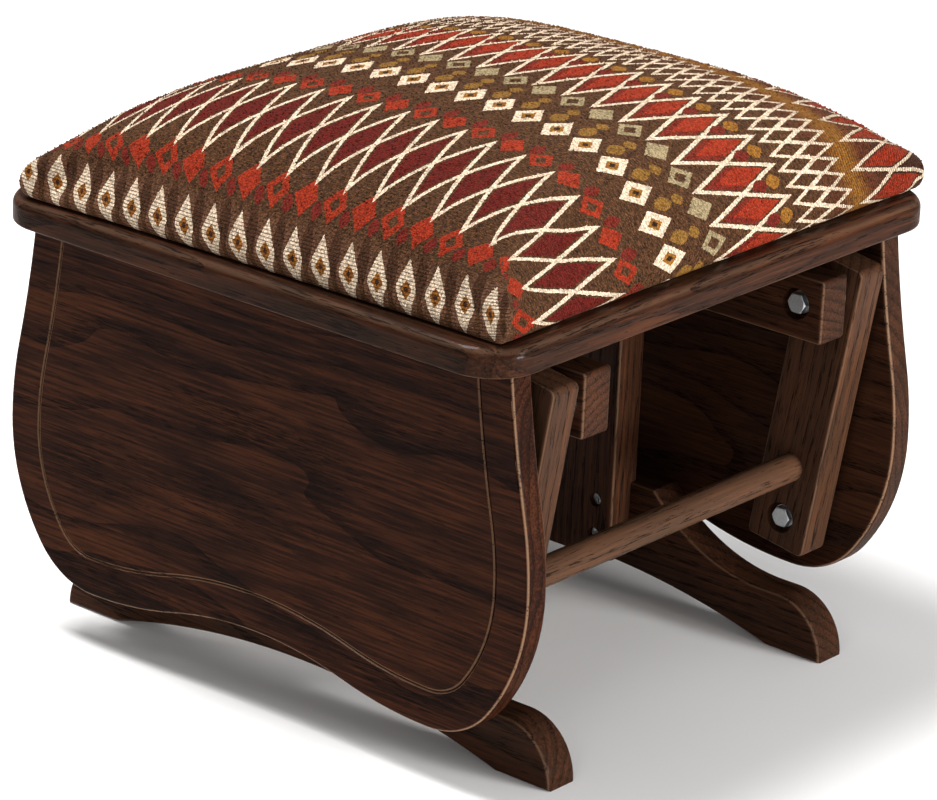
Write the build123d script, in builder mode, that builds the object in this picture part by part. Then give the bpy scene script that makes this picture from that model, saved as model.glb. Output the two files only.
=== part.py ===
"""Glider ottoman in stained oak: a fixed base, two swinging pairs of arms and a padded seat.

Axes: X left to right, Y front (-) to rear (+), Z up from the floor.
The origin is on the floor under the middle of the ottoman. Sizes are in millimetres.
Pieces are drawn for the right side and the front, then mirrored to the other sides.
"""
from build123d import *
import math
import os

# ---- seat frame -------------------------------------------------------------------------
SEAT_WIDTH = 466.0          # left to right, over the seat frame
SEAT_DEPTH = 438.0          # front to rear, over the seat frame
SEAT_UNDERSIDE = 297.0      # floor to the underside of the seat frame
FRAME_THICK = 20.0
FRAME_MEMBER = 70.0         # width of each of the four mitred members
FRAME_CORNER_R = 35.0       # plan radius of the outer corners
FRAME_TOP_R = 8.0           # round-over along the upper outer edge
FRAME_BOTTOM_R = 2.5        # easing along the lower outer edge
PIN_DIA = 8.0               # wooden pins across each mitre
PIN_LENGTH = 36.0
PIN_MARGIN = 9.0            # left along the mitre beyond each pin's ends

# ---- side panels ------------------------------------------------------------------------
PANEL_THICK = 19.0
PANEL_OVERHANG = 29.0       # the seat frame stands this far outside each panel
PANEL_SETBACK = 12.5        # the panel's top corner stands this far behind the frame's edge
PANEL_FLARE = 21.5          # the belly stands this far beyond the panel's top corner
PANEL_BELLY_Z = 148.0       # height of the widest part
PANEL_SHOULDER_RISE = 55.0  # the convex part of the edge ends this far above the belly
PANEL_SHOULDER_IN = 6.0     # and this far inside it
PANEL_LOBE_WIDTH = 78.0     # size of the round lower corner
PANEL_LOBE_HEIGHT = 109.5
PANEL_LOBE_R = 62.0         # radius of its lower arc; the upper arc is larger and runs into it
PANEL_ARCH_RISE = 19.5      # the ogee at the middle of the lower edge
PANEL_EDGE_R = 3.0
GROOVE_INSET = 27.0         # the decorative groove follows the edge at this distance
GROOVE_FLOOR = 1.0          # width of its floor
GROOVE_DEPTH = 1.4
GROOVE_BEVEL = 1.1          # its sides open out by this much
GROOVE_BEVEL_DEPTH = 0.7    # over this much of its depth

# ---- base -------------------------------------------------------------------------------
RAIL_THICK = 27.0
RAIL_HEIGHT = 45.0
RAIL_DROP = 16.5            # from the seat frame's underside to the rail's top
RAIL_END = 22.5             # from the upper pivot to the rail's end
RAIL_EDGE_R = 3.0
POST_WIDTH = 93.0           # front to rear
POST_TONGUE = 19.5          # thickness of the post's lower tongue, which laps the foot
POST_TONGUE_END = 31.0      # height of the tongue's lower end above the floor
POST_EDGE_R = 3.0
TENON_THICK = 13.0
TENON_SHOULDER = 21.5       # left at the post's front and rear; the cross rail screws pass there
TENON_HEIGHT = 30.0
FOOT_THICK = 27.0
FOOT_HEIGHT = 85.0          # at the flat middle
FOOT_TOE_HEIGHT = 40.5
FOOT_TOE_SETBACK = 3.0      # the toe stands this far behind the seat frame's edge
FOOT_TOE_ROUND = 38.0       # length of the toe's rounded end
FOOT_TOE_FLAT = 13.0        # level stretch behind the rounded end
FOOT_SHOULDER = 67.0        # half length of the flat middle
FOOT_PAD = 46.0             # length of the part that stands on the floor, at each end
FOOT_ARCH_RISE = 24.0
FOOT_EDGE_R = 3.0
CROSS_THICK = 27.0          # the two cross rails between the posts
CROSS_HEIGHT = 70.0
CROSS_DROP = 22.0           # from the seat frame's underside to the cross rails' top

# ---- swing arms -------------------------------------------------------------------------
ARM_THICK = 26.0
ARM_WIDTH = 48.0
ARM_CORNER_R = 5.0
ARM_EDGE_R = 2.5
ARM_TOP = 23.0              # from the upper pivot to the arm's top end
ARM_BOTTOM = 21.5           # from the lower pivot to the arm's bottom end
UPPER_PIVOT_SETBACK = 28.5  # behind the seat frame's edge
UPPER_PIVOT_DROP = 37.0     # below the seat frame's underside
LOWER_PIVOT_Z = 88.0
ARM_LEAN = 27.5             # the lower pivot stands this far nearer the middle
DOWEL_DIA = 20.0
DOWEL_RISE = 39.6           # along the arm, above the lower pivot
DOWEL_DEPTH = 16.0          # how far its ends enter the arms
PIVOT_GAP = 10.0            # between rail and arm, and between arm and panel

# ---- pivot hardware ---------------------------------------------------------------------
BOLT_DIA = 8.0
BOLT_HEAD_FLATS = 13.0
BOLT_HEAD_HEIGHT = 5.3
BOLT_HEAD_FACE = 12.3       # diameter of the flat on top of its turned head
BOLT_HEAD_SLOPE = 60.0      # degrees from the axis, where its corners are turned off
BOLT_TIP_CHAMFER = 1.0
BOLT_ENGAGEMENT = 11.5      # length of thread in the insert
WASHER_DIA = 16.0
WASHER_THICK = 1.6
BORE_DIA = 22.0             # counterbore round the bolt's head
BORE_DEPTH = 8.0
SLEEVE_DIA = 10.0
PASSAGE_DIA = 16.0          # hole through the wood round the sleeve
BEARING_DIA = 33.0
BEARING_WIDTH = 10.5
BEARING_RECESS = 3.0        # how deep its outer ring sits in the wood
BEARING_OUTER_ID = 26.0
BEARING_SHIELD_ID = 21.4
BEARING_SHIELD = 0.8        # thickness of each shield
BEARING_CHAMFER = 0.6
BEARING_INNER_OD = 16.0
BALL_DIA = 4.6
BALL_COUNT = 9
INSERT_DIA = 12.0
INSERT_DEPTH = 13.0
FACE_CLEARANCE = 0.5        # between faces that turn past each other
FIT_CLEARANCE = 0.05        # radial, round pins, inserts, rings and threads

# ---- wood screws ------------------------------------------------------------------------
SCREW_DIA = 4.5
SCREW_HEAD_DIA = 9.0
SCREW_HEAD_HEIGHT = 3.0
SCREW_TIP = 5.0             # length of its tapered end
SCREW_TIP_TAPER = 20.0      # degrees
SCREW_SLOT_LENGTH = 5.0     # of the cross cut into the head
SCREW_SLOT_WIDTH = 1.2
SCREW_SLOT_DEPTH = 1.6
SCREW_BORE_DIA = 10.0       # counterbore over the head
FOOT_SCREW_LENGTH = 32.0
FOOT_SCREW_SINK = 4.0
FOOT_SCREW_Y = 31.0
FOOT_SCREW_DROPS = (12.0, 38.0)     # below the foot's flat middle
CROSS_SCREW_LENGTH = 62.0
CROSS_SCREW_SINK = 6.0
CROSS_SCREW_SPREAD = 19.0           # above and below the cross rail's middle
CLEAT_SIZE = 19.0
CLEAT_CHAMFER = 2.0
CLEAT_LENGTH = 190.0
CLEAT_SCREW_LENGTH = 32.0
CLEAT_SCREW_SPREAD = 70.0
CLEAT_SCREW_STAGGER = 12.0          # keeps the two rows of screws apart
CLEAT_SCREW_SINK = 2.0
DECK_SCREW_LENGTH = 24.0
DECK_SCREW_SINK = 4.0
DECK_SCREW_SPREAD_X = 90.0          # of those in the front and rear members
DECK_SCREW_SPREAD_Y = 118.0         # of those in the side members
DECK_SCREW_EDGE = 12.0              # from the frame member's inner edge

# ---- cushion ----------------------------------------------------------------------------
DECK_THICK = 12.0           # plywood board under the padding
DECK_MARGIN = 11.0          # the padding covers the board's edge by this much
DECK_CORNER_R = 20.0
CUSHION_SIDE_LEDGE = 12.0   # frame left bare at the left and right
CUSHION_END_LEDGE = 16.0    # frame left bare at the front and rear
CUSHION_CROWN = 90.0        # rise of the crown above the frame
CUSHION_SWELL = 7.0         # the sides swell by this much beyond the seam on the frame
CUSHION_SWELL_RISE = 0.3    # part of the rise over which they do
CUSHION_DRAW = 3.0          # the seam draws in by this much at the middle of each side
CUSHION_CORNER_R = 24.0
CUSHION_CORNER_TOP = 0.6    # corner radius at the top, as a part of the half size there
CUSHION_BOW_TOP = 0.12      # outward bow of the sides at the top, likewise
CROWN_LEVELS = (0.0, 0.2, 0.5, 0.75, 0.9, 0.97, 0.993)    # parts of the rise
CROWN_X = (2.0, 4.0)        # exponents of the crown's outline from left to right
CROWN_Y = (2.6, 2.8)        # and from front to rear
COVER_THICK = 3.0           # woven cover over the foam
FOAM_CLEARANCE = 0.5

# ---- derived places ---------------------------------------------------------------------
X_PANEL_OUT = SEAT_WIDTH / 2 - PANEL_OVERHANG
X_PANEL_IN = X_PANEL_OUT - PANEL_THICK
X_ARM_OUT = X_PANEL_IN - PIVOT_GAP
X_ARM_IN = X_ARM_OUT - ARM_THICK
X_RAIL_OUT = X_ARM_IN - PIVOT_GAP
X_RAIL_IN = X_RAIL_OUT - RAIL_THICK
X_FOOT_IN = X_RAIL_IN + POST_TONGUE
Y_UPPER = SEAT_DEPTH / 2 - UPPER_PIVOT_SETBACK
Z_UPPER = SEAT_UNDERSIDE - UPPER_PIVOT_DROP
Y_LOWER = Y_UPPER - ARM_LEAN
Z_LOWER = LOWER_PIVOT_Z
SCREW_HOLE = SCREW_DIA + 2 * FIT_CLEARANCE
ARM_LENGTH = math.hypot(ARM_LEAN, Z_UPPER - Z_LOWER)
RAIL_TOP = SEAT_UNDERSIDE - RAIL_DROP
RAIL_BOTTOM = RAIL_TOP - RAIL_HEIGHT
CROSS_TOP = SEAT_UNDERSIDE - CROSS_DROP
TENON_WIDTH = POST_WIDTH - 2 * TENON_SHOULDER
SEAT_TOP = SEAT_UNDERSIDE + FRAME_THICK
FOOT_HALF = SEAT_DEPTH / 2 - FOOT_TOE_SETBACK
DECK_WIDTH = SEAT_WIDTH - 2 * (CUSHION_SIDE_LEDGE + DECK_MARGIN)
DECK_DEPTH = SEAT_DEPTH - 2 * (CUSHION_END_LEDGE + DECK_MARGIN)

# The front right arm's own plane: X along the arm from the lower pivot to the upper one.
ARM_PLANE = Plane(origin=(X_ARM_IN, -Y_LOWER, Z_LOWER),
                  x_dir=(0, -ARM_LEAN, Z_UPPER - Z_LOWER), z_dir=(1, 0, 0))

os.makedirs("parts", exist_ok=True)


def save(builder, label):
    """Label a finished piece and write its STEP file."""
    builder.part.label = label
    export_step(builder.part, f"parts/{label}.step")


def mirrored(builder, plane):
    """A copy of a finished piece on the other side of a plane."""
    with BuildPart() as copy:
        mirror(builder.part, about=plane)
    return copy


def drill(plane, points, diameter, depth):
    """Cut round holes of one depth from a plane, along its normal, in the open part."""
    with BuildSketch(plane) as holes:
        with Locations(*points):
            Circle(diameter / 2)
    extrude(holes.sketch, amount=depth, mode=Mode.SUBTRACT)


def face_edges(builder):
    """The edges round the left and right faces of the open part."""
    faces = builder.faces().filter_by(Axis.X).sort_by(Axis.X)
    return faces[0].edges() + faces[-1].edges()


def in_four_corners(builder):
    """One group of a piece and its copies left, right, front and rear."""
    with BuildPart() as group:
        add(builder.part)
        mirror(builder.part, about=Plane.YZ)
        mirror(group.part, about=Plane.XZ)
    return group


def in_pairs(builder):
    """One group of a piece and its copy on the left side."""
    with BuildPart() as group:
        add(builder.part)
        mirror(builder.part, about=Plane.YZ)
    return group


# ---- feet -------------------------------------------------------------------------------
def foot():
    """Right foot: rounded toes, a sweep up to the flat middle and an arch underneath."""
    toe_start = FOOT_HALF - FOOT_TOE_ROUND
    sweep_start = toe_start - FOOT_TOE_FLAT
    with BuildPart() as piece:
        with BuildSketch(Plane.YZ.offset(X_FOOT_IN)):
            with BuildLine():
                TangentArc((0, FOOT_ARCH_RISE), (FOOT_HALF - FOOT_PAD, 0), tangent=(1, 0))
                Line((FOOT_HALF - FOOT_PAD, 0), (FOOT_HALF, 0))
                EllipticalCenterArc((toe_start, 0), FOOT_TOE_ROUND, FOOT_TOE_HEIGHT,
                                    start_angle=0, arc_size=90)
                Line((toe_start, FOOT_TOE_HEIGHT), (sweep_start, FOOT_TOE_HEIGHT))
                TangentArc((sweep_start, FOOT_TOE_HEIGHT), (FOOT_SHOULDER, FOOT_HEIGHT),
                           tangent=(-1, 0))
                Line((FOOT_SHOULDER, FOOT_HEIGHT), (0, FOOT_HEIGHT))
                mirror(about=Plane.YZ)
            make_face()
        extrude(amount=FOOT_THICK)
        fillet(face_edges(piece), radius=FOOT_EDGE_R)
        drill(Plane.YZ.offset(X_FOOT_IN), foot_screw_points(), SCREW_HOLE,
              FOOT_SCREW_SINK + FOOT_SCREW_LENGTH - POST_TONGUE + FIT_CLEARANCE)
    return piece


def foot_screw_points():
    """The four screws that hold a post to its foot, as Y and Z."""
    return [(side * FOOT_SCREW_Y, FOOT_HEIGHT - drop) for side in (-1, 1) for drop in FOOT_SCREW_DROPS]


# ---- posts ------------------------------------------------------------------------------
def cross_screw_points():
    """The screws that hold the two cross rails to a post, as Y and Z."""
    middle = POST_WIDTH / 2 - CROSS_THICK / 2
    height = CROSS_TOP - CROSS_HEIGHT / 2
    return [(side * middle, height + rise)
            for side in (-1, 1) for rise in (-CROSS_SCREW_SPREAD, CROSS_SCREW_SPREAD)]


def post_screw_points():
    """The cross rail screws that pass through the post, below the rail."""
    return [point for point in cross_screw_points() if point[1] < RAIL_BOTTOM]


def rail_screw_points():
    """The cross rail screws that pass through the side rail."""
    return [point for point in cross_screw_points() if point[1] > RAIL_BOTTOM]


def post():
    """Right post: stands on the foot, laps its inner face and enters the rail above."""
    middle_x = (X_RAIL_IN + X_RAIL_OUT) / 2
    with BuildPart() as piece:
        with BuildSketch(Plane.XY.offset(POST_TONGUE_END)):
            with Locations((middle_x, 0)):
                Rectangle(RAIL_THICK, POST_WIDTH)
        extrude(amount=RAIL_BOTTOM - POST_TONGUE_END)
        fillet(piece.edges().filter_by(Axis.Z), radius=POST_EDGE_R)
        # the outer face is cut back where the tongue laps the foot
        with BuildSketch(Plane.XY.offset(POST_TONGUE_END)):
            with Locations((X_FOOT_IN + FOOT_THICK / 2, 0)):
                Rectangle(FOOT_THICK, POST_WIDTH * 2)
        extrude(amount=FOOT_HEIGHT - POST_TONGUE_END, mode=Mode.SUBTRACT)
        with BuildSketch(Plane.XY.offset(RAIL_BOTTOM)):
            with Locations((middle_x, 0)):
                Rectangle(TENON_THICK, TENON_WIDTH)
        extrude(amount=TENON_HEIGHT)
        drill(Plane.YZ.offset(X_RAIL_IN), foot_screw_points(), SCREW_BORE_DIA,
              FOOT_SCREW_SINK + SCREW_HEAD_HEIGHT)
        drill(Plane.YZ.offset(X_RAIL_IN), foot_screw_points(), SCREW_HOLE, POST_TONGUE)
        drill(Plane.YZ.offset(X_RAIL_IN), post_screw_points(), SCREW_HOLE, RAIL_THICK)
        drill(Plane.YZ.offset(X_RAIL_OUT), post_screw_points(), SCREW_BORE_DIA,
              -CROSS_SCREW_SINK - SCREW_HEAD_HEIGHT)
    return piece


# ---- side rails -------------------------------------------------------------------------
def rail():
    """Right side rail: carries the upper pivots at its ends and sits on the post."""
    middle_x = (X_RAIL_IN + X_RAIL_OUT) / 2
    pivots = [(side * Y_UPPER, Z_UPPER) for side in (-1, 1)]
    with BuildPart() as piece:
        with BuildSketch(Plane.XY.offset(RAIL_BOTTOM)):
            with Locations((middle_x, 0)):
                Rectangle(RAIL_THICK, 2 * (Y_UPPER + RAIL_END))
        extrude(amount=RAIL_HEIGHT)
        fillet(piece.edges(), radius=RAIL_EDGE_R)
        with BuildSketch(Plane.XY.offset(RAIL_BOTTOM)):
            with Locations((middle_x, 0)):
                Rectangle(TENON_THICK + 2 * FIT_CLEARANCE, TENON_WIDTH + 2 * FIT_CLEARANCE)
        extrude(amount=TENON_HEIGHT + FACE_CLEARANCE, mode=Mode.SUBTRACT)
        drill(Plane.YZ.offset(X_RAIL_IN), pivots, BORE_DIA, BORE_DEPTH)
        drill(Plane.YZ.offset(X_RAIL_IN), pivots, PASSAGE_DIA, RAIL_THICK)
        drill(Plane.YZ.offset(X_RAIL_OUT - BEARING_RECESS), pivots,
              BEARING_DIA + 2 * FIT_CLEARANCE, BEARING_RECESS)
        if rail_screw_points():
            drill(Plane.YZ.offset(X_RAIL_IN), rail_screw_points(), SCREW_HOLE, RAIL_THICK)
            drill(Plane.YZ.offset(X_RAIL_OUT), rail_screw_points(), SCREW_BORE_DIA,
                  -CROSS_SCREW_SINK - SCREW_HEAD_HEIGHT)
    return piece


# ---- cross rails ------------------------------------------------------------------------
def cross_rail():
    """Front cross rail: joins the left and right sides of the base behind the seat's edge."""
    middle_y = -(POST_WIDTH / 2 - CROSS_THICK / 2)
    points = [point for point in cross_screw_points() if point[0] < 0]
    pilot = CROSS_SCREW_LENGTH - (RAIL_THICK - CROSS_SCREW_SINK) + FIT_CLEARANCE
    with BuildPart() as piece:
        with BuildSketch(Plane.XY.offset(CROSS_TOP - CROSS_HEIGHT)):
            with Locations((0, middle_y)):
                Rectangle(2 * X_RAIL_IN, CROSS_THICK)
        extrude(amount=CROSS_HEIGHT)
        fillet(piece.edges().filter_by(Axis.X), radius=RAIL_EDGE_R)
        drill(Plane.YZ.offset(X_RAIL_IN - pilot), points, SCREW_HOLE, pilot)
        drill(Plane.YZ.offset(-X_RAIL_IN), points, SCREW_HOLE, pilot)
    return piece


# ---- swing arms -------------------------------------------------------------------------
def arm():
    """Front right arm: hangs from the rail and carries the seat at its lower pivot."""
    outer = ARM_PLANE.offset(ARM_THICK - BEARING_RECESS)
    upper, lower = (ARM_LENGTH, 0), (0, 0)
    with BuildPart() as piece:
        with BuildSketch(ARM_PLANE):
            with Locations(((ARM_LENGTH + ARM_TOP - ARM_BOTTOM) / 2, 0)):
                RectangleRounded(ARM_LENGTH + ARM_TOP + ARM_BOTTOM, ARM_WIDTH, ARM_CORNER_R)
        extrude(amount=ARM_THICK)
        fillet(face_edges(piece), radius=ARM_EDGE_R)
        drill(ARM_PLANE, [lower], BORE_DIA, BORE_DEPTH)
        drill(ARM_PLANE, [lower], PASSAGE_DIA, ARM_THICK)
        drill(outer, [lower], BEARING_DIA + 2 * FIT_CLEARANCE, BEARING_RECESS)
        drill(ARM_PLANE, [upper], INSERT_DIA + 2 * FIT_CLEARANCE, INSERT_DEPTH + FIT_CLEARANCE)
        drill(ARM_PLANE, [(DOWEL_RISE, 0)], DOWEL_DIA + 2 * FIT_CLEARANCE,
              DOWEL_DEPTH + FIT_CLEARANCE)
    return piece


def dowel():
    """Front dowel: joins the two front arms just above their lower pivots."""
    centre = ARM_PLANE.from_local_coords((DOWEL_RISE, 0, 0))
    half = X_ARM_IN + DOWEL_DEPTH
    with BuildPart() as piece:
        with BuildSketch(Plane(origin=(-half, centre.Y, centre.Z), x_dir=(0, 1, 0), z_dir=(1, 0, 0))):
            Circle(DOWEL_DIA / 2)
        extrude(amount=2 * half)
    return piece


# ---- pivot hardware ---------------------------------------------------------------------
class Pivot:
    """One pivot of the front right arm, built outwards from the bolt's head.

    head_x is the face with the counterbore, host the thickness of the wood that holds the
    bearing, and y and z the axis.
    """

    def __init__(self, head_x, host, y, z):
        self.y, self.z = y, z
        self.washer_end = head_x + BORE_DEPTH - FACE_CLEARANCE
        self.head_end = self.washer_end - WASHER_THICK
        self.outer_ring = head_x + host - BEARING_RECESS
        self.inner_ring = self.outer_ring + FACE_CLEARANCE
        self.spacer = self.inner_ring + BEARING_WIDTH
        self.far_face = head_x + host + PIVOT_GAP

    def plane(self, x):
        """A plane across the pivot's axis."""
        return Plane(origin=(x, self.y, self.z), x_dir=(0, 1, 0), z_dir=(1, 0, 0))

    def ring(self, x, outer, inner, length):
        """A plain ring round the axis."""
        with BuildPart() as piece:
            with BuildSketch(self.plane(x)):
                Circle(outer / 2)
                Circle(inner / 2, mode=Mode.SUBTRACT)
            extrude(amount=length)
        return piece

    def bolt(self):
        """Hex bolt with the corners of its head turned off."""
        with BuildPart() as piece:
            with BuildSketch(self.plane(self.head_end - BOLT_HEAD_HEIGHT)):
                RegularPolygon(BOLT_HEAD_FLATS / 2, 6, major_radius=False)
            extrude(amount=BOLT_HEAD_HEIGHT)
            with BuildSketch(self.plane(self.head_end - BOLT_HEAD_HEIGHT)):
                Circle(BOLT_HEAD_FACE / 2)
            extrude(amount=BOLT_HEAD_HEIGHT, taper=-BOLT_HEAD_SLOPE, mode=Mode.INTERSECT)
            with BuildSketch(self.plane(self.head_end)):
                Circle(BOLT_DIA / 2)
            extrude(amount=self.far_face + BOLT_ENGAGEMENT - self.head_end)
            chamfer(piece.edges().sort_by(Axis.X)[-1], length=BOLT_TIP_CHAMFER)
        return piece

    def washers(self):
        """The washer under the head and the spacer against the far wood, as one group."""
        bore = BOLT_DIA + 2 * FIT_CLEARANCE
        with BuildPart() as group:
            add(self.ring(self.head_end, WASHER_DIA, bore, WASHER_THICK).part)
            add(self.ring(self.spacer, BEARING_INNER_OD, bore, self.far_face - self.spacer).part)
        return group

    def sleeve(self):
        """The sleeve that clamps the inner ring through the wood."""
        return self.ring(self.washer_end, SLEEVE_DIA, BOLT_DIA + 2 * FIT_CLEARANCE,
                         self.inner_ring - self.washer_end)

    def inner(self):
        """The bearing's inner ring."""
        return self.ring(self.inner_ring, BEARING_INNER_OD, BOLT_DIA + 2 * FIT_CLEARANCE,
                         BEARING_WIDTH)

    def outer(self):
        """The bearing's outer ring with a shield at each face."""
        with BuildPart() as piece:
            add(self.ring(self.outer_ring, BEARING_DIA, BEARING_SHIELD_ID, BEARING_WIDTH).part)
            with BuildSketch(self.plane(self.outer_ring + BEARING_SHIELD)):
                Circle(BEARING_OUTER_ID / 2)
            extrude(amount=BEARING_WIDTH - 2 * BEARING_SHIELD, mode=Mode.SUBTRACT)
            rims = piece.edges().filter_by(GeomType.CIRCLE).group_by(SortBy.RADIUS)[-1]
            chamfer(rims, length=BEARING_CHAMFER)
        return piece

    def balls(self):
        """The ring of balls between the inner and outer rings."""
        pitch = (BEARING_OUTER_ID + BEARING_INNER_OD) / 4
        with BuildPart() as group:
            with Locations(self.plane(self.outer_ring + BEARING_WIDTH / 2)):
                with PolarLocations(pitch, BALL_COUNT):
                    Sphere(BALL_DIA / 2)
        return group

    def insert(self):
        """The threaded insert in the far wood."""
        with BuildPart() as piece:
            with BuildSketch(self.plane(self.far_face)):
                Circle(INSERT_DIA / 2)
            extrude(amount=INSERT_DEPTH)
            drill(self.plane(self.far_face), [(0, 0)], BOLT_DIA + 2 * FIT_CLEARANCE,
                  BOLT_ENGAGEMENT + FACE_CLEARANCE)
        return piece


# ---- wood screws ------------------------------------------------------------------------
def screw(plane, length):
    """A flat-headed wood screw whose head starts at a plane and which runs along its normal."""
    shank = length - SCREW_HEAD_HEIGHT - SCREW_TIP
    with BuildPart() as piece:
        with BuildSketch(plane):
            Circle(SCREW_HEAD_DIA / 2)
        extrude(amount=SCREW_HEAD_HEIGHT)
        with BuildSketch(plane):
            Rectangle(SCREW_SLOT_LENGTH, SCREW_SLOT_WIDTH)
            Rectangle(SCREW_SLOT_WIDTH, SCREW_SLOT_LENGTH)
        extrude(amount=SCREW_SLOT_DEPTH, mode=Mode.SUBTRACT)
        with BuildSketch(plane.offset(SCREW_HEAD_HEIGHT)):
            Circle(SCREW_DIA / 2)
        extrude(amount=shank)
        with BuildSketch(plane.offset(SCREW_HEAD_HEIGHT + shank)):
            Circle(SCREW_DIA / 2)
        extrude(amount=SCREW_TIP, taper=SCREW_TIP_TAPER)
    return piece


def screws(planes, length):
    """One group of like screws, one at each plane."""
    pieces = [screw(plane, length) for plane in planes]
    with BuildPart() as group:
        for piece in pieces:
            add(piece.part)
    return group


def across(x, point, outward=1):
    """A plane at X through a point given as Y and Z, facing out to the right or to the left."""
    return Plane(origin=(x, *point), x_dir=(0, 1, 0), z_dir=(outward, 0, 0))


# ---- seat frame -------------------------------------------------------------------------
def mitre_pin_planes(side_x, side_y):
    """The planes at the middle of the two pins across one mitre, given by its signs."""
    near = PIN_LENGTH / 2 + PIN_MARGIN
    planes = []
    for along in (near, FRAME_MEMBER * math.sqrt(2) - near):
        step = along / math.sqrt(2)
        origin = (side_x * (SEAT_WIDTH / 2 - step), side_y * (SEAT_DEPTH / 2 - step),
                  SEAT_UNDERSIDE + FRAME_THICK / 2)
        planes.append(Plane(origin=origin, x_dir=(0, 0, 1), z_dir=(side_x, -side_y, 0)))
    return planes


def mitre_pins():
    """The wooden pins across the four mitres."""
    with BuildPart() as group:
        for side_x in (-1, 1):
            for side_y in (-1, 1):
                for plane in mitre_pin_planes(side_x, side_y):
                    with BuildSketch(plane):
                        Circle(PIN_DIA / 2)
                    extrude(amount=PIN_LENGTH / 2, both=True)
    return group


def deck_screw_points():
    """The screws that hold the deck board to the frame, as X and Y."""
    side_x = SEAT_WIDTH / 2 - FRAME_MEMBER + DECK_SCREW_EDGE
    end_y = SEAT_DEPTH / 2 - FRAME_MEMBER + DECK_SCREW_EDGE
    return [(x * side_x, y * DECK_SCREW_SPREAD_Y) for x in (-1, 1) for y in (-1, 1)] + [
        (x * DECK_SCREW_SPREAD_X, y * end_y) for x in (-1, 1) for y in (-1, 1)]


def cleat_rise_points():
    """The screws that run up through the cleats into the frame, as X and Y."""
    middle_x = X_PANEL_IN - CLEAT_SIZE / 2
    return [(x * middle_x, y * CLEAT_SCREW_SPREAD) for x in (-1, 1) for y in (-1, 1)]


def whole_frame():
    """The seat frame in one piece, with its pin and screw holes, ready to be cut at the mitres."""
    with BuildPart() as frame:
        with BuildSketch(Plane.XY.offset(SEAT_UNDERSIDE)):
            RectangleRounded(SEAT_WIDTH, SEAT_DEPTH, FRAME_CORNER_R)
            Rectangle(SEAT_WIDTH - 2 * FRAME_MEMBER, SEAT_DEPTH - 2 * FRAME_MEMBER,
                      mode=Mode.SUBTRACT)
        extrude(amount=FRAME_THICK)
        fillet(frame.faces().sort_by(Axis.Z)[-1].outer_wire().edges(), radius=FRAME_TOP_R)
        fillet(frame.faces().sort_by(Axis.Z)[0].outer_wire().edges(), radius=FRAME_BOTTOM_R)
        for side_x in (-1, 1):
            for side_y in (-1, 1):
                for plane in mitre_pin_planes(side_x, side_y):
                    with BuildSketch(plane):
                        Circle(PIN_DIA / 2 + FIT_CLEARANCE)
                    extrude(amount=PIN_LENGTH / 2 + FIT_CLEARANCE, both=True, mode=Mode.SUBTRACT)
        underside = Plane.XY.offset(SEAT_UNDERSIDE)
        drill(underside, deck_screw_points(), SCREW_BORE_DIA, DECK_SCREW_SINK + SCREW_HEAD_HEIGHT)
        drill(underside, deck_screw_points(), SCREW_HOLE, FRAME_THICK)
        drill(underside, cleat_rise_points(), SCREW_HOLE,
              CLEAT_SCREW_LENGTH + CLEAT_SCREW_SINK - CLEAT_SIZE + FIT_CLEARANCE)
    return frame


def frame_member(frame, across_front):
    """The front member or the right one, cut from the whole frame at its two mitres."""
    half_x, half_y = SEAT_WIDTH / 2, SEAT_DEPTH / 2
    inner_x, inner_y = half_x - FRAME_MEMBER, half_y - FRAME_MEMBER
    if across_front:
        corners = [(-half_x, -half_y), (half_x, -half_y), (inner_x, -inner_y), (-inner_x, -inner_y)]
    else:
        corners = [(half_x, -half_y), (half_x, half_y), (inner_x, inner_y), (inner_x, -inner_y)]
    with BuildPart() as piece:
        add(frame.part)
        with BuildSketch(Plane.XY.offset(SEAT_UNDERSIDE)):
            Polygon(*corners, align=None)
        extrude(amount=FRAME_THICK, mode=Mode.INTERSECT)
    return piece


# ---- side panels ------------------------------------------------------------------------
def panel_outline():
    """Half of a panel's outline, from above its top corner down to its middle."""
    top_y = SEAT_DEPTH / 2 - PANEL_SETBACK
    overrun = SEAT_UNDERSIDE + 2 * GROOVE_INSET
    belly = (top_y + PANEL_FLARE, PANEL_BELLY_Z)
    shoulder = (belly[0] - PANEL_SHOULDER_IN, PANEL_BELLY_Z + PANEL_SHOULDER_RISE)
    lobe_y = belly[0] - PANEL_LOBE_WIDTH
    lobe_z = PANEL_BELLY_Z - PANEL_LOBE_HEIGHT
    Line((0, overrun), (top_y, overrun))
    Line((top_y, overrun), (top_y, SEAT_UNDERSIDE))
    convex = TangentArc(belly, shoulder, tangent=(0, 1))
    TangentArc(shoulder, (top_y, SEAT_UNDERSIDE), tangent=convex % 1)
    small, width, height = PANEL_LOBE_R, PANEL_LOBE_WIDTH, PANEL_LOBE_HEIGHT
    large = (width ** 2 + height ** 2 - 2 * height * small) / (2 * (width - small))
    slope = math.atan2(height - small, large - width)
    join = (lobe_y + small * math.cos(slope), lobe_z + small - small * math.sin(slope))
    upper_arc = TangentArc(belly, join, tangent=(0, -1))
    TangentArc(join, (lobe_y, lobe_z), tangent=upper_arc % 1)
    turn = (lobe_y / 2, lobe_z + PANEL_ARCH_RISE / 2)
    rise = TangentArc((lobe_y, lobe_z), turn, tangent=(-1, 0))
    TangentArc(turn, (0, lobe_z + PANEL_ARCH_RISE), tangent=rise % 1)


def cleat_side_points():
    """The screws that run out through a cleat into its panel, as Y and Z."""
    height = SEAT_UNDERSIDE - CLEAT_SIZE / 2
    return [(side * (CLEAT_SCREW_SPREAD - CLEAT_SCREW_STAGGER), height) for side in (-1, 1)]


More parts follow.
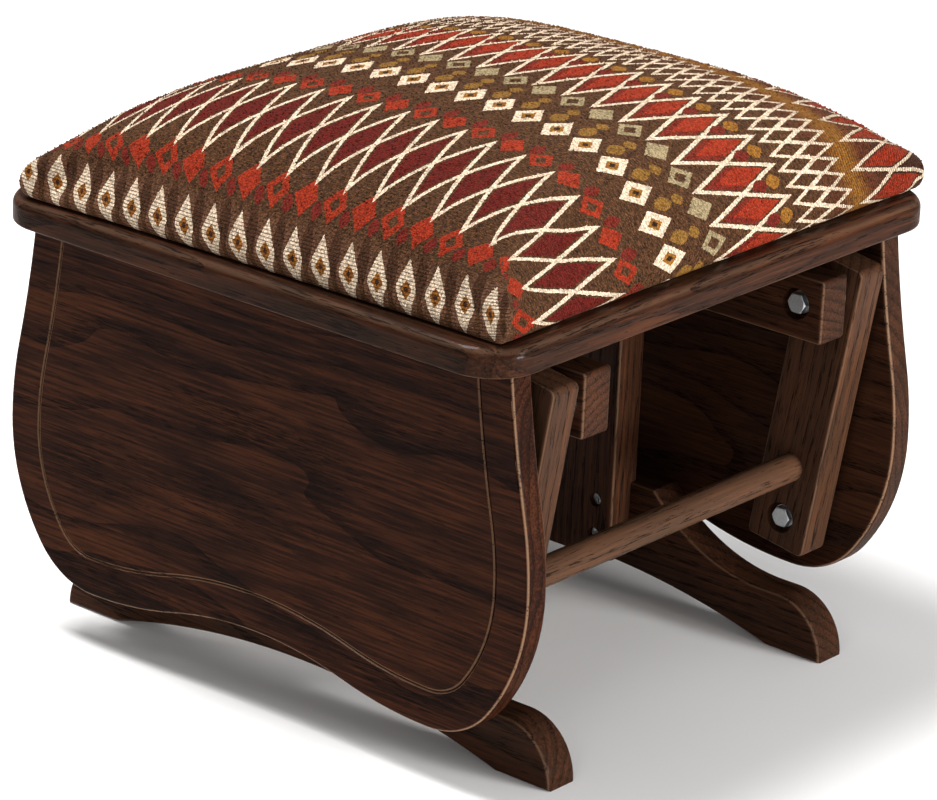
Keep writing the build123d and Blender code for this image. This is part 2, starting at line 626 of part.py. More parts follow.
def panel():
    """Right panel: vase-shaped, with a groove that follows its edge on the outer face."""
    pivots = [(side * Y_LOWER, Z_LOWER) for side in (-1, 1)]
    with BuildPart() as piece:
        with BuildSketch(Plane.YZ.offset(X_PANEL_IN)):
            with BuildLine():
                panel_outline()
                mirror(about=Plane.YZ)
            make_face()
        extrude(amount=PANEL_THICK)
        fillet(face_edges(piece), radius=PANEL_EDGE_R)
        with BuildSketch(Plane.YZ.offset(X_PANEL_OUT - GROOVE_DEPTH)):
            with BuildLine():
                panel_outline()
                mirror(about=Plane.YZ)
            outline = make_face(mode=Mode.PRIVATE)
            offset(outline, amount=GROOVE_FLOOR / 2 - GROOVE_INSET)
            offset(outline, amount=-GROOVE_FLOOR / 2 - GROOVE_INSET, mode=Mode.SUBTRACT)
        extrude(amount=GROOVE_DEPTH, mode=Mode.SUBTRACT)
        outer_faces = piece.faces().filter_by(Axis.X).group_by(Axis.X)[-1]
        inside, border = sorted(outer_faces, key=lambda face: face.bounding_box().size.Y)
        mouth = inside.edges() + border.inner_wires()[0].edges()
        chamfer(mouth, length=GROOVE_BEVEL_DEPTH, length2=GROOVE_BEVEL)
        with BuildSketch(Plane.XY.offset(SEAT_UNDERSIDE)):
            with Locations((X_PANEL_IN + PANEL_THICK / 2, 0)):
                Rectangle(2 * PANEL_THICK, SEAT_DEPTH * 2)
        extrude(amount=3 * GROOVE_INSET, mode=Mode.SUBTRACT)
        drill(Plane.YZ.offset(X_PANEL_IN), pivots, INSERT_DIA + 2 * FIT_CLEARANCE,
              INSERT_DEPTH + FIT_CLEARANCE)
        drill(Plane.YZ.offset(X_PANEL_IN), cleat_side_points(), SCREW_HOLE,
              CLEAT_SCREW_LENGTH + CLEAT_SCREW_SINK - CLEAT_SIZE + FIT_CLEARANCE)
    return piece


def cleat():
    """Right cleat: the strip inside the panel's top that is screwed to panel and frame."""
    middle_x = X_PANEL_IN - CLEAT_SIZE / 2
    rises = [point for point in cleat_rise_points() if point[0] > 0]
    with BuildPart() as piece:
        with BuildSketch(Plane.XY.offset(SEAT_UNDERSIDE - CLEAT_SIZE)):
            with Locations((middle_x, 0)):
                Rectangle(CLEAT_SIZE, CLEAT_LENGTH)
        extrude(amount=CLEAT_SIZE)
        arris = piece.edges().filter_by(Axis.Y).sort_by(Axis.Z)[0:2].sort_by(Axis.X)[0]
        chamfer(arris, length=CLEAT_CHAMFER)
        drill(Plane.XY.offset(SEAT_UNDERSIDE - CLEAT_SIZE), rises, SCREW_BORE_DIA,
              CLEAT_SCREW_SINK + SCREW_HEAD_HEIGHT)
        drill(Plane.XY.offset(SEAT_UNDERSIDE - CLEAT_SIZE), rises, SCREW_HOLE, CLEAT_SIZE)
        inner = Plane.YZ.offset(X_PANEL_IN - CLEAT_SIZE)
        drill(inner, cleat_side_points(), SCREW_BORE_DIA, CLEAT_SCREW_SINK + SCREW_HEAD_HEIGHT)
        drill(inner, cleat_side_points(), SCREW_HOLE, CLEAT_SIZE)
    return piece


# ---- cushion ----------------------------------------------------------------------------
def crown_half(half, level, exponents):
    """Half size of the cushion's outline at one level of its rise."""
    along, up = exponents
    swell = 1 - min(level / CUSHION_SWELL_RISE, 1)
    return half * (1 - level ** up) ** (1 / along) - CUSHION_SWELL * swell ** 2


def cushion_form(inset):
    """The crowned cushion with drawn-in sides, drawn inside its outer surface by an inset."""
    half_width = SEAT_WIDTH / 2 - CUSHION_SIDE_LEDGE + CUSHION_SWELL - inset
    half_depth = SEAT_DEPTH / 2 - CUSHION_END_LEDGE + CUSHION_SWELL - inset
    with BuildPart() as form:
        for level in CROWN_LEVELS:
            x = crown_half(half_width, level, CROWN_X)
            y = crown_half(half_depth, level, CROWN_Y)
            least = min(x, y)
            bow = CUSHION_BOW_TOP * least * level ** 2 - CUSHION_DRAW * (1 - level)
            corner = CUSHION_CORNER_R + (CUSHION_CORNER_TOP * least - CUSHION_CORNER_R) * level ** 2
            with BuildSketch(Plane.XY.offset(SEAT_TOP + level * (CUSHION_CROWN - inset))) as outline:
                with BuildLine():
                    for side in (-1, 1):
                        ThreePointArc((side * (x - bow), bow - y), (side * x, 0),
                                      (side * (x - bow), y - bow))
                        ThreePointArc((bow - x, side * (y - bow)), (0, side * y),
                                      (x - bow, side * (y - bow)))
                make_face()
                fillet(outline.vertices(), radius=corner)
        loft()
    return form


def deck_board():
    """Plywood board on the seat frame, inside the cushion."""
    with BuildPart() as piece:
        with BuildSketch(Plane.XY.offset(SEAT_TOP)):
            RectangleRounded(DECK_WIDTH, DECK_DEPTH, DECK_CORNER_R)
        extrude(amount=DECK_THICK)
        drill(Plane.XY.offset(SEAT_TOP), deck_screw_points(), SCREW_HOLE,
              DECK_SCREW_LENGTH + DECK_SCREW_SINK - FRAME_THICK + FIT_CLEARANCE)
    return piece


def foam_pad(form):
    """Foam pad: the cushion's inner form, moulded over the deck board."""
    with BuildPart() as piece:
        add(form.part)
        with BuildSketch(Plane.XY.offset(SEAT_TOP)):
            RectangleRounded(DECK_WIDTH + 2 * FOAM_CLEARANCE, DECK_DEPTH + 2 * FOAM_CLEARANCE,
                             DECK_CORNER_R + FOAM_CLEARANCE)
        extrude(amount=DECK_THICK, mode=Mode.SUBTRACT)
    return piece


def cover(outer, inner):
    """Woven cover: the skin between the cushion's outer form and the foam."""
    with BuildPart() as piece:
        add(outer.part)
        add(inner.part, mode=Mode.SUBTRACT)
    return piece


# ---- the pieces in place ----------------------------------------------------------------
right_foot = foot()
save(right_foot, "right_foot")
save(mirrored(right_foot, Plane.YZ), "left_foot")
right_post = post()
save(right_post, "right_post")
save(mirrored(right_post, Plane.YZ), "left_post")
right_rail = rail()
save(right_rail, "right_rail")
save(mirrored(right_rail, Plane.YZ), "left_rail")
front_cross_rail = cross_rail()
save(front_cross_rail, "front_cross_rail")
save(mirrored(front_cross_rail, Plane.XZ), "rear_cross_rail")

right_foot_screws = screws([across(X_RAIL_IN + FOOT_SCREW_SINK, point)
                            for point in foot_screw_points()], FOOT_SCREW_LENGTH)
save(in_pairs(right_foot_screws), "foot_screws")
right_cross_screws = screws([across(X_RAIL_OUT - CROSS_SCREW_SINK, point, outward=-1)
                             for point in cross_screw_points()], CROSS_SCREW_LENGTH)
save(in_pairs(right_cross_screws), "cross_rail_screws")

front_right_arm = arm()
front_left_arm = mirrored(front_right_arm, Plane.YZ)
front_dowel = dowel()
save(front_right_arm, "front_right_arm")
save(front_left_arm, "front_left_arm")
save(mirrored(front_right_arm, Plane.XZ), "rear_right_arm")
save(mirrored(front_left_arm, Plane.XZ), "rear_left_arm")
save(front_dowel, "front_dowel")
save(mirrored(front_dowel, Plane.XZ), "rear_dowel")

upper = Pivot(X_RAIL_IN, RAIL_THICK, -Y_UPPER, Z_UPPER)
lower = Pivot(X_ARM_IN, ARM_THICK, -Y_LOWER, Z_LOWER)
save(in_four_corners(upper.outer()), "upper_bearing_outer_rings")
save(in_four_corners(upper.balls()), "upper_bearing_balls")
save(in_four_corners(lower.bolt()), "lower_pivot_bolts")
save(in_four_corners(lower.washers()), "lower_pivot_washers")
save(in_four_corners(lower.sleeve()), "lower_pivot_sleeves")
save(in_four_corners(lower.inner()), "lower_bearing_inner_rings")
save(in_four_corners(lower.insert()), "panel_inserts")
save(in_pairs(lower.balls()), "front_lower_bearing_balls")
for kind, front_pair in (
    ("upper_bolts", in_pairs(upper.bolt())),
    ("upper_washers", in_pairs(upper.washers())),
    ("upper_sleeves", in_pairs(upper.sleeve())),
    ("upper_inner_rings", in_pairs(upper.inner())),
    ("arm_inserts", in_pairs(upper.insert())),
    ("lower_outer_rings", in_pairs(lower.outer())),
):
    save(front_pair, f"front_{kind}")
    save(mirrored(front_pair, Plane.XZ), f"rear_{kind}")

seat_frame = whole_frame()
front_member = frame_member(seat_frame, across_front=True)
right_member = frame_member(seat_frame, across_front=False)
save(front_member, "seat_frame_front")
save(mirrored(front_member, Plane.XZ), "seat_frame_rear")
save(right_member, "seat_frame_right")
save(mirrored(right_member, Plane.YZ), "seat_frame_left")
save(mitre_pins(), "mitre_pins")

right_panel = panel()
save(right_panel, "right_panel")
save(mirrored(right_panel, Plane.YZ), "left_panel")
right_cleat = cleat()
save(right_cleat, "right_cleat")
save(mirrored(right_cleat, Plane.YZ), "left_cleat")
right_cleat_screws = screws(
    [Plane(origin=(*point, SEAT_UNDERSIDE - CLEAT_SIZE + CLEAT_SCREW_SINK))
     for point in cleat_rise_points() if point[0] > 0]
    + [across(X_PANEL_IN - CLEAT_SIZE + CLEAT_SCREW_SINK, point) for point in cleat_side_points()],
    CLEAT_SCREW_LENGTH)
save(in_pairs(right_cleat_screws), "cleat_screws")

save(deck_board(), "deck_board")
save(screws([Plane(origin=(*point, SEAT_UNDERSIDE + DECK_SCREW_SINK))
             for point in deck_screw_points()], DECK_SCREW_LENGTH), "deck_screws")
save(foam_pad(cushion_form(COVER_THICK + FOAM_CLEARANCE)), "foam_pad")
save(cover(cushion_form(0), cushion_form(COVER_THICK)), "cushion_cover")
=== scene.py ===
"""Glider ottoman in dark stained oak under a tapestry cushion, dressed for a studio picture.

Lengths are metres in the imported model's own frame: X from left to right, Y from front (-)
to rear (+), Z up from the floor. Pattern sizes inside the materials are millimetres.
"""
import logging
import math
from dataclasses import dataclass
from enum import Enum

import bpy
import numpy as np
from mathutils import Matrix, Vector


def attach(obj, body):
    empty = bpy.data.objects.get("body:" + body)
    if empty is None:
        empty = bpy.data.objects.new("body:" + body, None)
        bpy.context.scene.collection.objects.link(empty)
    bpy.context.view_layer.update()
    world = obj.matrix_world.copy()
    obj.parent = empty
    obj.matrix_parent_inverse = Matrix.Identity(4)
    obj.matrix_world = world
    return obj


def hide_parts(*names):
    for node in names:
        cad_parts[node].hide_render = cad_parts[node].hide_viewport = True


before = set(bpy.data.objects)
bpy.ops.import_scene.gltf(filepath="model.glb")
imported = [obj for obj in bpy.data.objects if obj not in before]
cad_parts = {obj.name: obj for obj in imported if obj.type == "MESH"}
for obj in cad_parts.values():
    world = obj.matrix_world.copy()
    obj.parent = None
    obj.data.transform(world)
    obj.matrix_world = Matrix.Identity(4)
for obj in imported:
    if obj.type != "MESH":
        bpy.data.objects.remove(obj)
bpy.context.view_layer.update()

LOG = logging.getLogger("glider_ottoman")
MM = 0.001
WEAVE = "weave"                 # the cloth's own coordinates, kept on each cloth piece
WEAVE_SPAN = 600.0              # millimetres of cloth that its coordinates run over

MATH = "ShaderNodeMath"
MIX = "ShaderNodeMix"
NOISE = "ShaderNodeTexNoise"
MAPPING = "ShaderNodeMapping"
VECTOR_MATH = "ShaderNodeVectorMath"
RANGE = "ShaderNodeMapRange"
RAMP = "ShaderNodeValToRGB"
MIX_A, MIX_B, MIX_RESULT = 6, 7, 2      # a colour Mix node's own sockets

HALVINGS = 36                   # steps in which a level on the crown is found
CURVE_POINTS = 2000             # points at which the crown's curve is measured


def linear(code: str) -> tuple[float, float, float, float]:
    """Turn an sRGB hex colour into linear light.

    Args:
        code: six hex digits, with or without a hash sign.

    Returns:
        Red, green, blue and a full alpha.
    """
    parts = [int(code.lstrip("#")[i:i + 2], 16) / 255 for i in (0, 2, 4)]
    light = [c / 12.92 if c <= 0.04045 else ((c + 0.055) / 1.055) ** 2.4 for c in parts]
    return (*light, 1.0)


def feed(tree: bpy.types.NodeTree, node: bpy.types.Node, inputs: dict | tuple) -> None:
    """Link or set a node's inputs.

    Args:
        tree: the node tree that it is in.
        node: the node.
        inputs: what goes into its sockets, by name or number, or in their order. A node or a
            socket is linked, and anything else is set.
    """
    pairs = inputs.items() if isinstance(inputs, dict) else enumerate(inputs)
    for name, value in pairs:
        if isinstance(value, bpy.types.Node):
            value = value.outputs[0]
        if isinstance(value, bpy.types.NodeSocket):
            tree.links.new(value, node.inputs[name])
        else:
            node.inputs[name].default_value = value


def add_node(tree: bpy.types.NodeTree, kind: str, inputs: dict | tuple = (),
             stops: tuple = (), **settings) -> bpy.types.Node:
    """Add one node with its settings, its values and its links.

    Args:
        tree: the node tree that it joins.
        kind: the node's type.
        inputs: what goes into its sockets, as feed() takes it.
        stops: positions and hex colours, for a colour ramp.
        **settings: the node's own properties.

    Returns:
        The new node.
    """
    node = tree.nodes.new(kind)
    for name, value in settings.items():
        setattr(node, name, value)
    for place, (position, code) in enumerate(stops):
        ramp = node.color_ramp.elements
        stop = ramp[place] if place < 2 else ramp.new(position)
        stop.position = position
        stop.color = linear(code)
    feed(tree, node, inputs)
    return node


def new_group(name: str, inputs: dict[str, str], outputs: dict[str, str],
              kind: str = "ShaderNodeTree") -> tuple[bpy.types.NodeTree, bpy.types.Node,
                                                     bpy.types.Node]:
    """Start a node group.

    Args:
        name: the group's name.
        inputs: the type of each input, by name.
        outputs: the type of each output, by name.
        kind: the type of tree.

    Returns:
        The tree, its input node and its output node.
    """
    tree = bpy.data.node_groups.new(name, kind)
    for names, way in ((inputs, "INPUT"), (outputs, "OUTPUT")):
        for label, socket in names.items():
            tree.interface.new_socket(label, in_out=way, socket_type=socket)
    return tree, add_node(tree, "NodeGroupInput"), add_node(tree, "NodeGroupOutput")


def new_material(name: str, **principled) -> tuple[bpy.types.Material, bpy.types.NodeTree,
                                                   bpy.types.Node]:
    """Start a material on one Principled shader.

    Args:
        name: the material's name.
        **principled: the shader's own values, by socket name with _ for a space.

    Returns:
        The material, its tree and its shader.
    """
    material = bpy.data.materials.new(name)
    material.use_nodes = True
    tree = material.node_tree
    tree.nodes.clear()
    values = {key.replace("_", " "): value for key, value in principled.items()}
    shader = add_node(tree, "ShaderNodeBsdfPrincipled", values)
    add_node(tree, "ShaderNodeOutputMaterial", {"Surface": shader})
    return material, tree, shader


def wear(names: tuple[str, ...] | list[str], material: bpy.types.Material) -> None:
    """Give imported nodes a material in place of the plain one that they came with.

    Args:
        names: the nodes.
        material: what they wear from now on.
    """
    for name in names:
        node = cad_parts[name]
        node.data.materials.clear()
        node.data.materials.append(material)
        LOG.info("%s wears %s", name, material.name)


# ---- finishes ---------------------------------------------------------------------------
class Grain(Enum):
    """Which way a board's grain runs, as the turn that lays it along the pattern's X."""

    LEFT_RIGHT = (0.0, 0.0, 0.0)
    FRONT_REAR = (0.0, 0.0, -90.0)
    UPRIGHT = (0.0, 90.0, 0.0)
    FRONT_ARM = (-9.08, 90.0, 0.0)
    REAR_ARM = (9.08, 90.0, 0.0)


class Face(Enum):
    """The direction through a board's thickness."""

    SIDE = (1.0, 0.0, 0.0)
    END = (0.0, 1.0, 0.0)
    FLAT = (0.0, 0.0, 1.0)


@dataclass(frozen=True)
class StainedOak:
    """Red oak under an espresso stain and a satin lacquer.

    The eye gets a near-black brown with lighter reddish streaks, cathedral figure across
    wide boards, open pores as fine dark dashes along the grain, and a soft sheen. The rounded
    arrises are painted paler, partly as sanding wear and partly as painted highlight, and a
    whole board can be painted paler all over as painted light.
    """

    ring: float = 7.0           # width of one year's growth as it shows on a wide board
    dark: str = "110602"
    middle: str = "251008"
    light: str = "452412"
    # paler colour for arrises and whole boards: sanding wear, painted highlight and painted light
    arris: str = "94735a"
    pore: str = "0a0403"
    roughness: float = 0.36
    lacquer: float = 0.025      # weight of the clear coat

    def pattern(self) -> bpy.types.NodeTree:
        """Build the shared figure: place in, colour, roughness and height out.

        Returns:
            The node group.
        """
        tree, given, result = new_group(
            "open_grain_oak",
            {"Place": "NodeSocketVector", "Arris": "NodeSocketFloat"},
            {"Colour": "NodeSocketColor", "Roughness": "NodeSocketFloat",
             "Height": "NodeSocketFloat"})
        place = given.outputs["Place"]
        # the trunk's slow wander bends the growth rings into cathedrals: 290 mm along, 90 across
        slow = add_node(tree, MAPPING, {"Vector": place, "Scale": (0.0035, 0.011, 0.011)})
        wander = add_node(tree, NOISE, {"Vector": slow, "Scale": 1.0, "Detail": 2.0,
                                        "Roughness": 0.4})
        shift = add_node(tree, VECTOR_MATH, (wander.outputs["Color"], (40.0, 40.0, 40.0)),
                         operation="MULTIPLY")
        bent = add_node(tree, VECTOR_MATH, (place, shift), operation="ADD")
        slice_ = add_node(tree, VECTOR_MATH, (bent, (0.0, 1.0, 1.0)), operation="MULTIPLY")
        radius = add_node(tree, VECTOR_MATH, (slice_,), operation="LENGTH")
        years = add_node(tree, MATH, (radius.outputs["Value"], self.ring), operation="DIVIDE")
        age = add_node(tree, MATH, (years,), operation="FRACT")
        # early wood: a porous dark band that ends sharply and fades into the late wood
        early = add_node(tree, RANGE, {"Value": age, "From Min": 0.0, "From Max": 0.55,
                                       "To Min": 1.0, "To Max": 0.0})
        # pores, 16 mm by 0.8 mm: real ones are 0.3 mm wide, too fine to show at this distance
        lying = add_node(tree, MAPPING, {"Vector": place, "Scale": (0.06, 1.2, 1.2)})
        pores = add_node(tree, NOISE, {"Vector": lying, "Scale": 1.0, "Detail": 2.0,
                                       "Roughness": 0.6})
        room = add_node(tree, RANGE, {"Value": early, "To Min": 0.65, "To Max": 0.51})
        open_pore = add_node(tree, MATH, (pores.outputs["Fac"], room), operation="GREATER_THAN")
        # fibres, 50 mm by 1.6 mm, and the stain's own clouds, 130 mm by 30 mm
        fibre_place = add_node(tree, MAPPING, {"Vector": place, "Scale": (0.02, 0.6, 0.6)})
        fibres = add_node(tree, NOISE, {"Vector": fibre_place, "Scale": 1.0, "Detail": 3.0})
        cloud_place = add_node(tree, MAPPING, {"Vector": place, "Scale": (0.0075, 0.03, 0.03)})
        clouds = add_node(tree, NOISE, {"Vector": cloud_place, "Scale": 1.0, "Detail": 3.0,
                                        "Roughness": 0.55})
        lean = add_node(tree, MATH, (early, -0.12, 0.0), operation="MULTIPLY_ADD")
        streaks = add_node(tree, MATH, (fibres.outputs["Fac"], 0.8, lean),
                           operation="MULTIPLY_ADD")
        tone = add_node(tree, MATH, (clouds.outputs["Fac"], 0.6, streaks),
                        operation="MULTIPLY_ADD")
        stain = add_node(tree, RAMP, (tone,), stops=((0.42, self.dark), (0.92, self.light),
                                                     (0.64, self.middle)))
        # mixed toward the arris colour: sanding wear and painted highlight on arrises, painted
        # light on whole boards
        paler = add_node(tree, MIX, {0: given.outputs["Arris"], MIX_A: stain,
                                     MIX_B: linear(self.arris)}, data_type="RGBA")
        stained = add_node(tree, MATH, (open_pore, 0.75), operation="MULTIPLY")
        colour = add_node(tree, MIX, {0: stained, MIX_A: paler.outputs[MIX_RESULT],
                                      MIX_B: linear(self.pore)}, data_type="RGBA")
        gloss = add_node(tree, RANGE, {"Value": clouds.outputs["Fac"],
                                       "To Min": self.roughness - 0.08,
                                       "To Max": self.roughness + 0.12})
        rough = add_node(tree, MATH, (open_pore, 0.25, gloss), operation="MULTIPLY_ADD")
        sunk = add_node(tree, MATH, (open_pore, -0.7, fibres.outputs["Fac"]),
                        operation="MULTIPLY_ADD")
        height = add_node(tree, MATH, (early, -0.35, sunk), operation="MULTIPLY_ADD")
        feed(tree, result, {"Colour": colour.outputs[MIX_RESULT], "Roughness": rough,
                            "Height": height})
        return tree

    def board(self, name: str, grain: Grain, face: Face, cut: tuple[float, float, float],
              wear_and_highlight: float = 0.22, pale: float = 0.0) -> bpy.types.Material:
        """Make one board's material.

        Args:
            name: the board that it is for.
            grain: which way its grain runs.
            face: the direction through its thickness.
            cut: where in the log it was cut, in millimetres.
            wear_and_highlight: how far its arrises are painted paler, 0 to 1: partly sanding
                wear, partly painted highlight.
            pale: how far the whole board is painted paler, 0 to 1: painted light that
                brightens it all over.

        Returns:
            The material.
        """
        shared = bpy.data.node_groups.get("open_grain_oak") or self.pattern()
        material, tree, shader = new_material(f"stained_oak_{name}", Coat_Weight=self.lacquer,
                                              Coat_Roughness=0.12, Specular_IOR_Level=0.02)
        spot = add_node(tree, "ShaderNodeTexCoord")
        turned = add_node(tree, MAPPING, {
            "Vector": spot.outputs["Object"], "Location": cut,
            "Rotation": tuple(math.radians(angle) for angle in grain.value),
            "Scale": (1 / MM, 1 / MM, 1 / MM)})
        # between a face (1) and an edge (0) the surface turns through the rounded arris
        facing = add_node(tree, VECTOR_MATH, (spot.outputs["Normal"], face.value),
                          operation="DOT_PRODUCT")
        turn = add_node(tree, MATH, (facing.outputs["Value"],), operation="ABSOLUTE")
        rise = add_node(tree, RANGE, {"Value": turn, "From Min": 0.4, "From Max": 0.62})
        fall = add_node(tree, RANGE, {"Value": turn, "From Min": 0.76, "From Max": 0.92,
                                      "To Min": wear_and_highlight, "To Max": 0.0})
        # arrises painted paler as wear and painted highlight, plus the whole board's painted
        # light
        arris = add_node(tree, MATH, (rise, fall, pale), operation="MULTIPLY_ADD")
        wood = add_node(tree, "ShaderNodeGroup", node_tree=shared)
        feed(tree, wood, {"Place": turned, "Arris": arris})
        bump = add_node(tree, "ShaderNodeBump", {"Height": wood.outputs["Height"],
                                                 "Strength": 0.35, "Distance": 0.25 * MM})
        feed(tree, shader, {"Base Color": wood.outputs["Colour"],
                            "Roughness": wood.outputs["Roughness"], "Normal": bump})
        return material


@dataclass(frozen=True)
class Metal:
    """A bare or plated metal part, with the fine marks of how it was made.

    Turned steel shows faint rings of light and dark; zinc plating is duller, with a soft
    mottle; brass inserts are yellow and scratched.
    """

    name: str
    colour: str
    shade: str
    roughness: float
    mark: float                 # spacing of the marks in millimetres

    def material(self) -> bpy.types.Material:
        """Make the material.

        Returns:
            The material.
        """
        material, tree, shader = new_material(self.name, Metallic=1.0)
        spot = add_node(tree, "ShaderNodeTexCoord")
        scale = 1 / (self.mark * MM)
        marks = add_node(tree, NOISE, {"Vector": spot.outputs["Object"], "Scale": scale,
                                       "Detail": 3.0})
        colour = add_node(tree, MIX, {0: marks.outputs["Fac"], MIX_A: linear(self.shade),
                                      MIX_B: linear(self.colour)}, data_type="RGBA")
        rough = add_node(tree, RANGE, {"Value": marks.outputs["Fac"],
                                       "To Min": self.roughness + 0.12,
                                       "To Max": self.roughness - 0.06})
        bump = add_node(tree, "ShaderNodeBump", {"Height": marks.outputs["Fac"],
                                                 "Strength": 0.15, "Distance": 0.1 * MM})
        feed(tree, shader, {"Base Color": colour.outputs[MIX_RESULT], "Roughness": rough,
                            "Normal": bump})
        return material


@dataclass(frozen=True)
class PaleWood:
    """Unstained wood that is hidden in use: beech pins and the birch plywood board.

    The eye gets a straw colour with fine darker flecks, and on the board's edge the thin
    layers, alternately pale and brown.
    """

    name: str
    pale: str
    brown: str
    fleck: float                # width of a fleck in millimetres
    layer: float = 0.0          # thickness of a veneer in millimetres, or 0 for solid wood

    def material(self) -> bpy.types.Material:
        """Make the material.

        Returns:
            The material.
        """
        material, tree, shader = new_material(self.name, Roughness=0.62)
        spot = add_node(tree, "ShaderNodeTexCoord")
        across = 1 / (self.fleck * MM)
        lying = add_node(tree, MAPPING, {"Vector": spot.outputs["Object"],
                                         "Scale": (across / 12, across, across)})
        flecks = add_node(tree, NOISE, {"Vector": lying, "Scale": 1.0, "Detail": 4.0})
        shade = flecks.outputs["Fac"]
        if self.layer:
            high = add_node(tree, "ShaderNodeSeparateXYZ", (spot.outputs["Object"],))
            count = add_node(tree, MATH, (high.outputs["Z"], 1 / (self.layer * MM)),
                             operation="MULTIPLY")
            ply = add_node(tree, MATH, (count, 1.0), operation="PINGPONG")
            shade = add_node(tree, MATH, (ply, 0.4, shade), operation="MULTIPLY_ADD").outputs[0]
        colour = add_node(tree, RAMP, (shade,), stops=((0.35, self.brown), (0.75, self.pale)))
        bump = add_node(tree, "ShaderNodeBump", {"Height": flecks.outputs["Fac"],
                                                 "Strength": 0.2, "Distance": 0.2 * MM})
        feed(tree, shader, {"Base Color": colour, "Normal": bump})
        return material


@dataclass(frozen=True)
class Motif:
    """A row of like figures woven along the cloth, painted over what lies under it."""

    colour: str
    centre: float               # across the bands, from the cloth's middle
    half_across: float
    half_along: float
    phase: float                # along the band, to the middle of one figure
    pitch: float = 24.0
    outer: float = 1.0          # painted from the inner share of the figure to the outer one
    inner: float = 0.0
    roundness: float = 1.0      # 1 for a diamond, 2 for an oval


@dataclass(frozen=True)
class Band:
    """A stretch of the cloth's width with a ground colour of its own."""

    colour: str
    start: float
    end: float
    soft: float = 6.0           # width of its edges


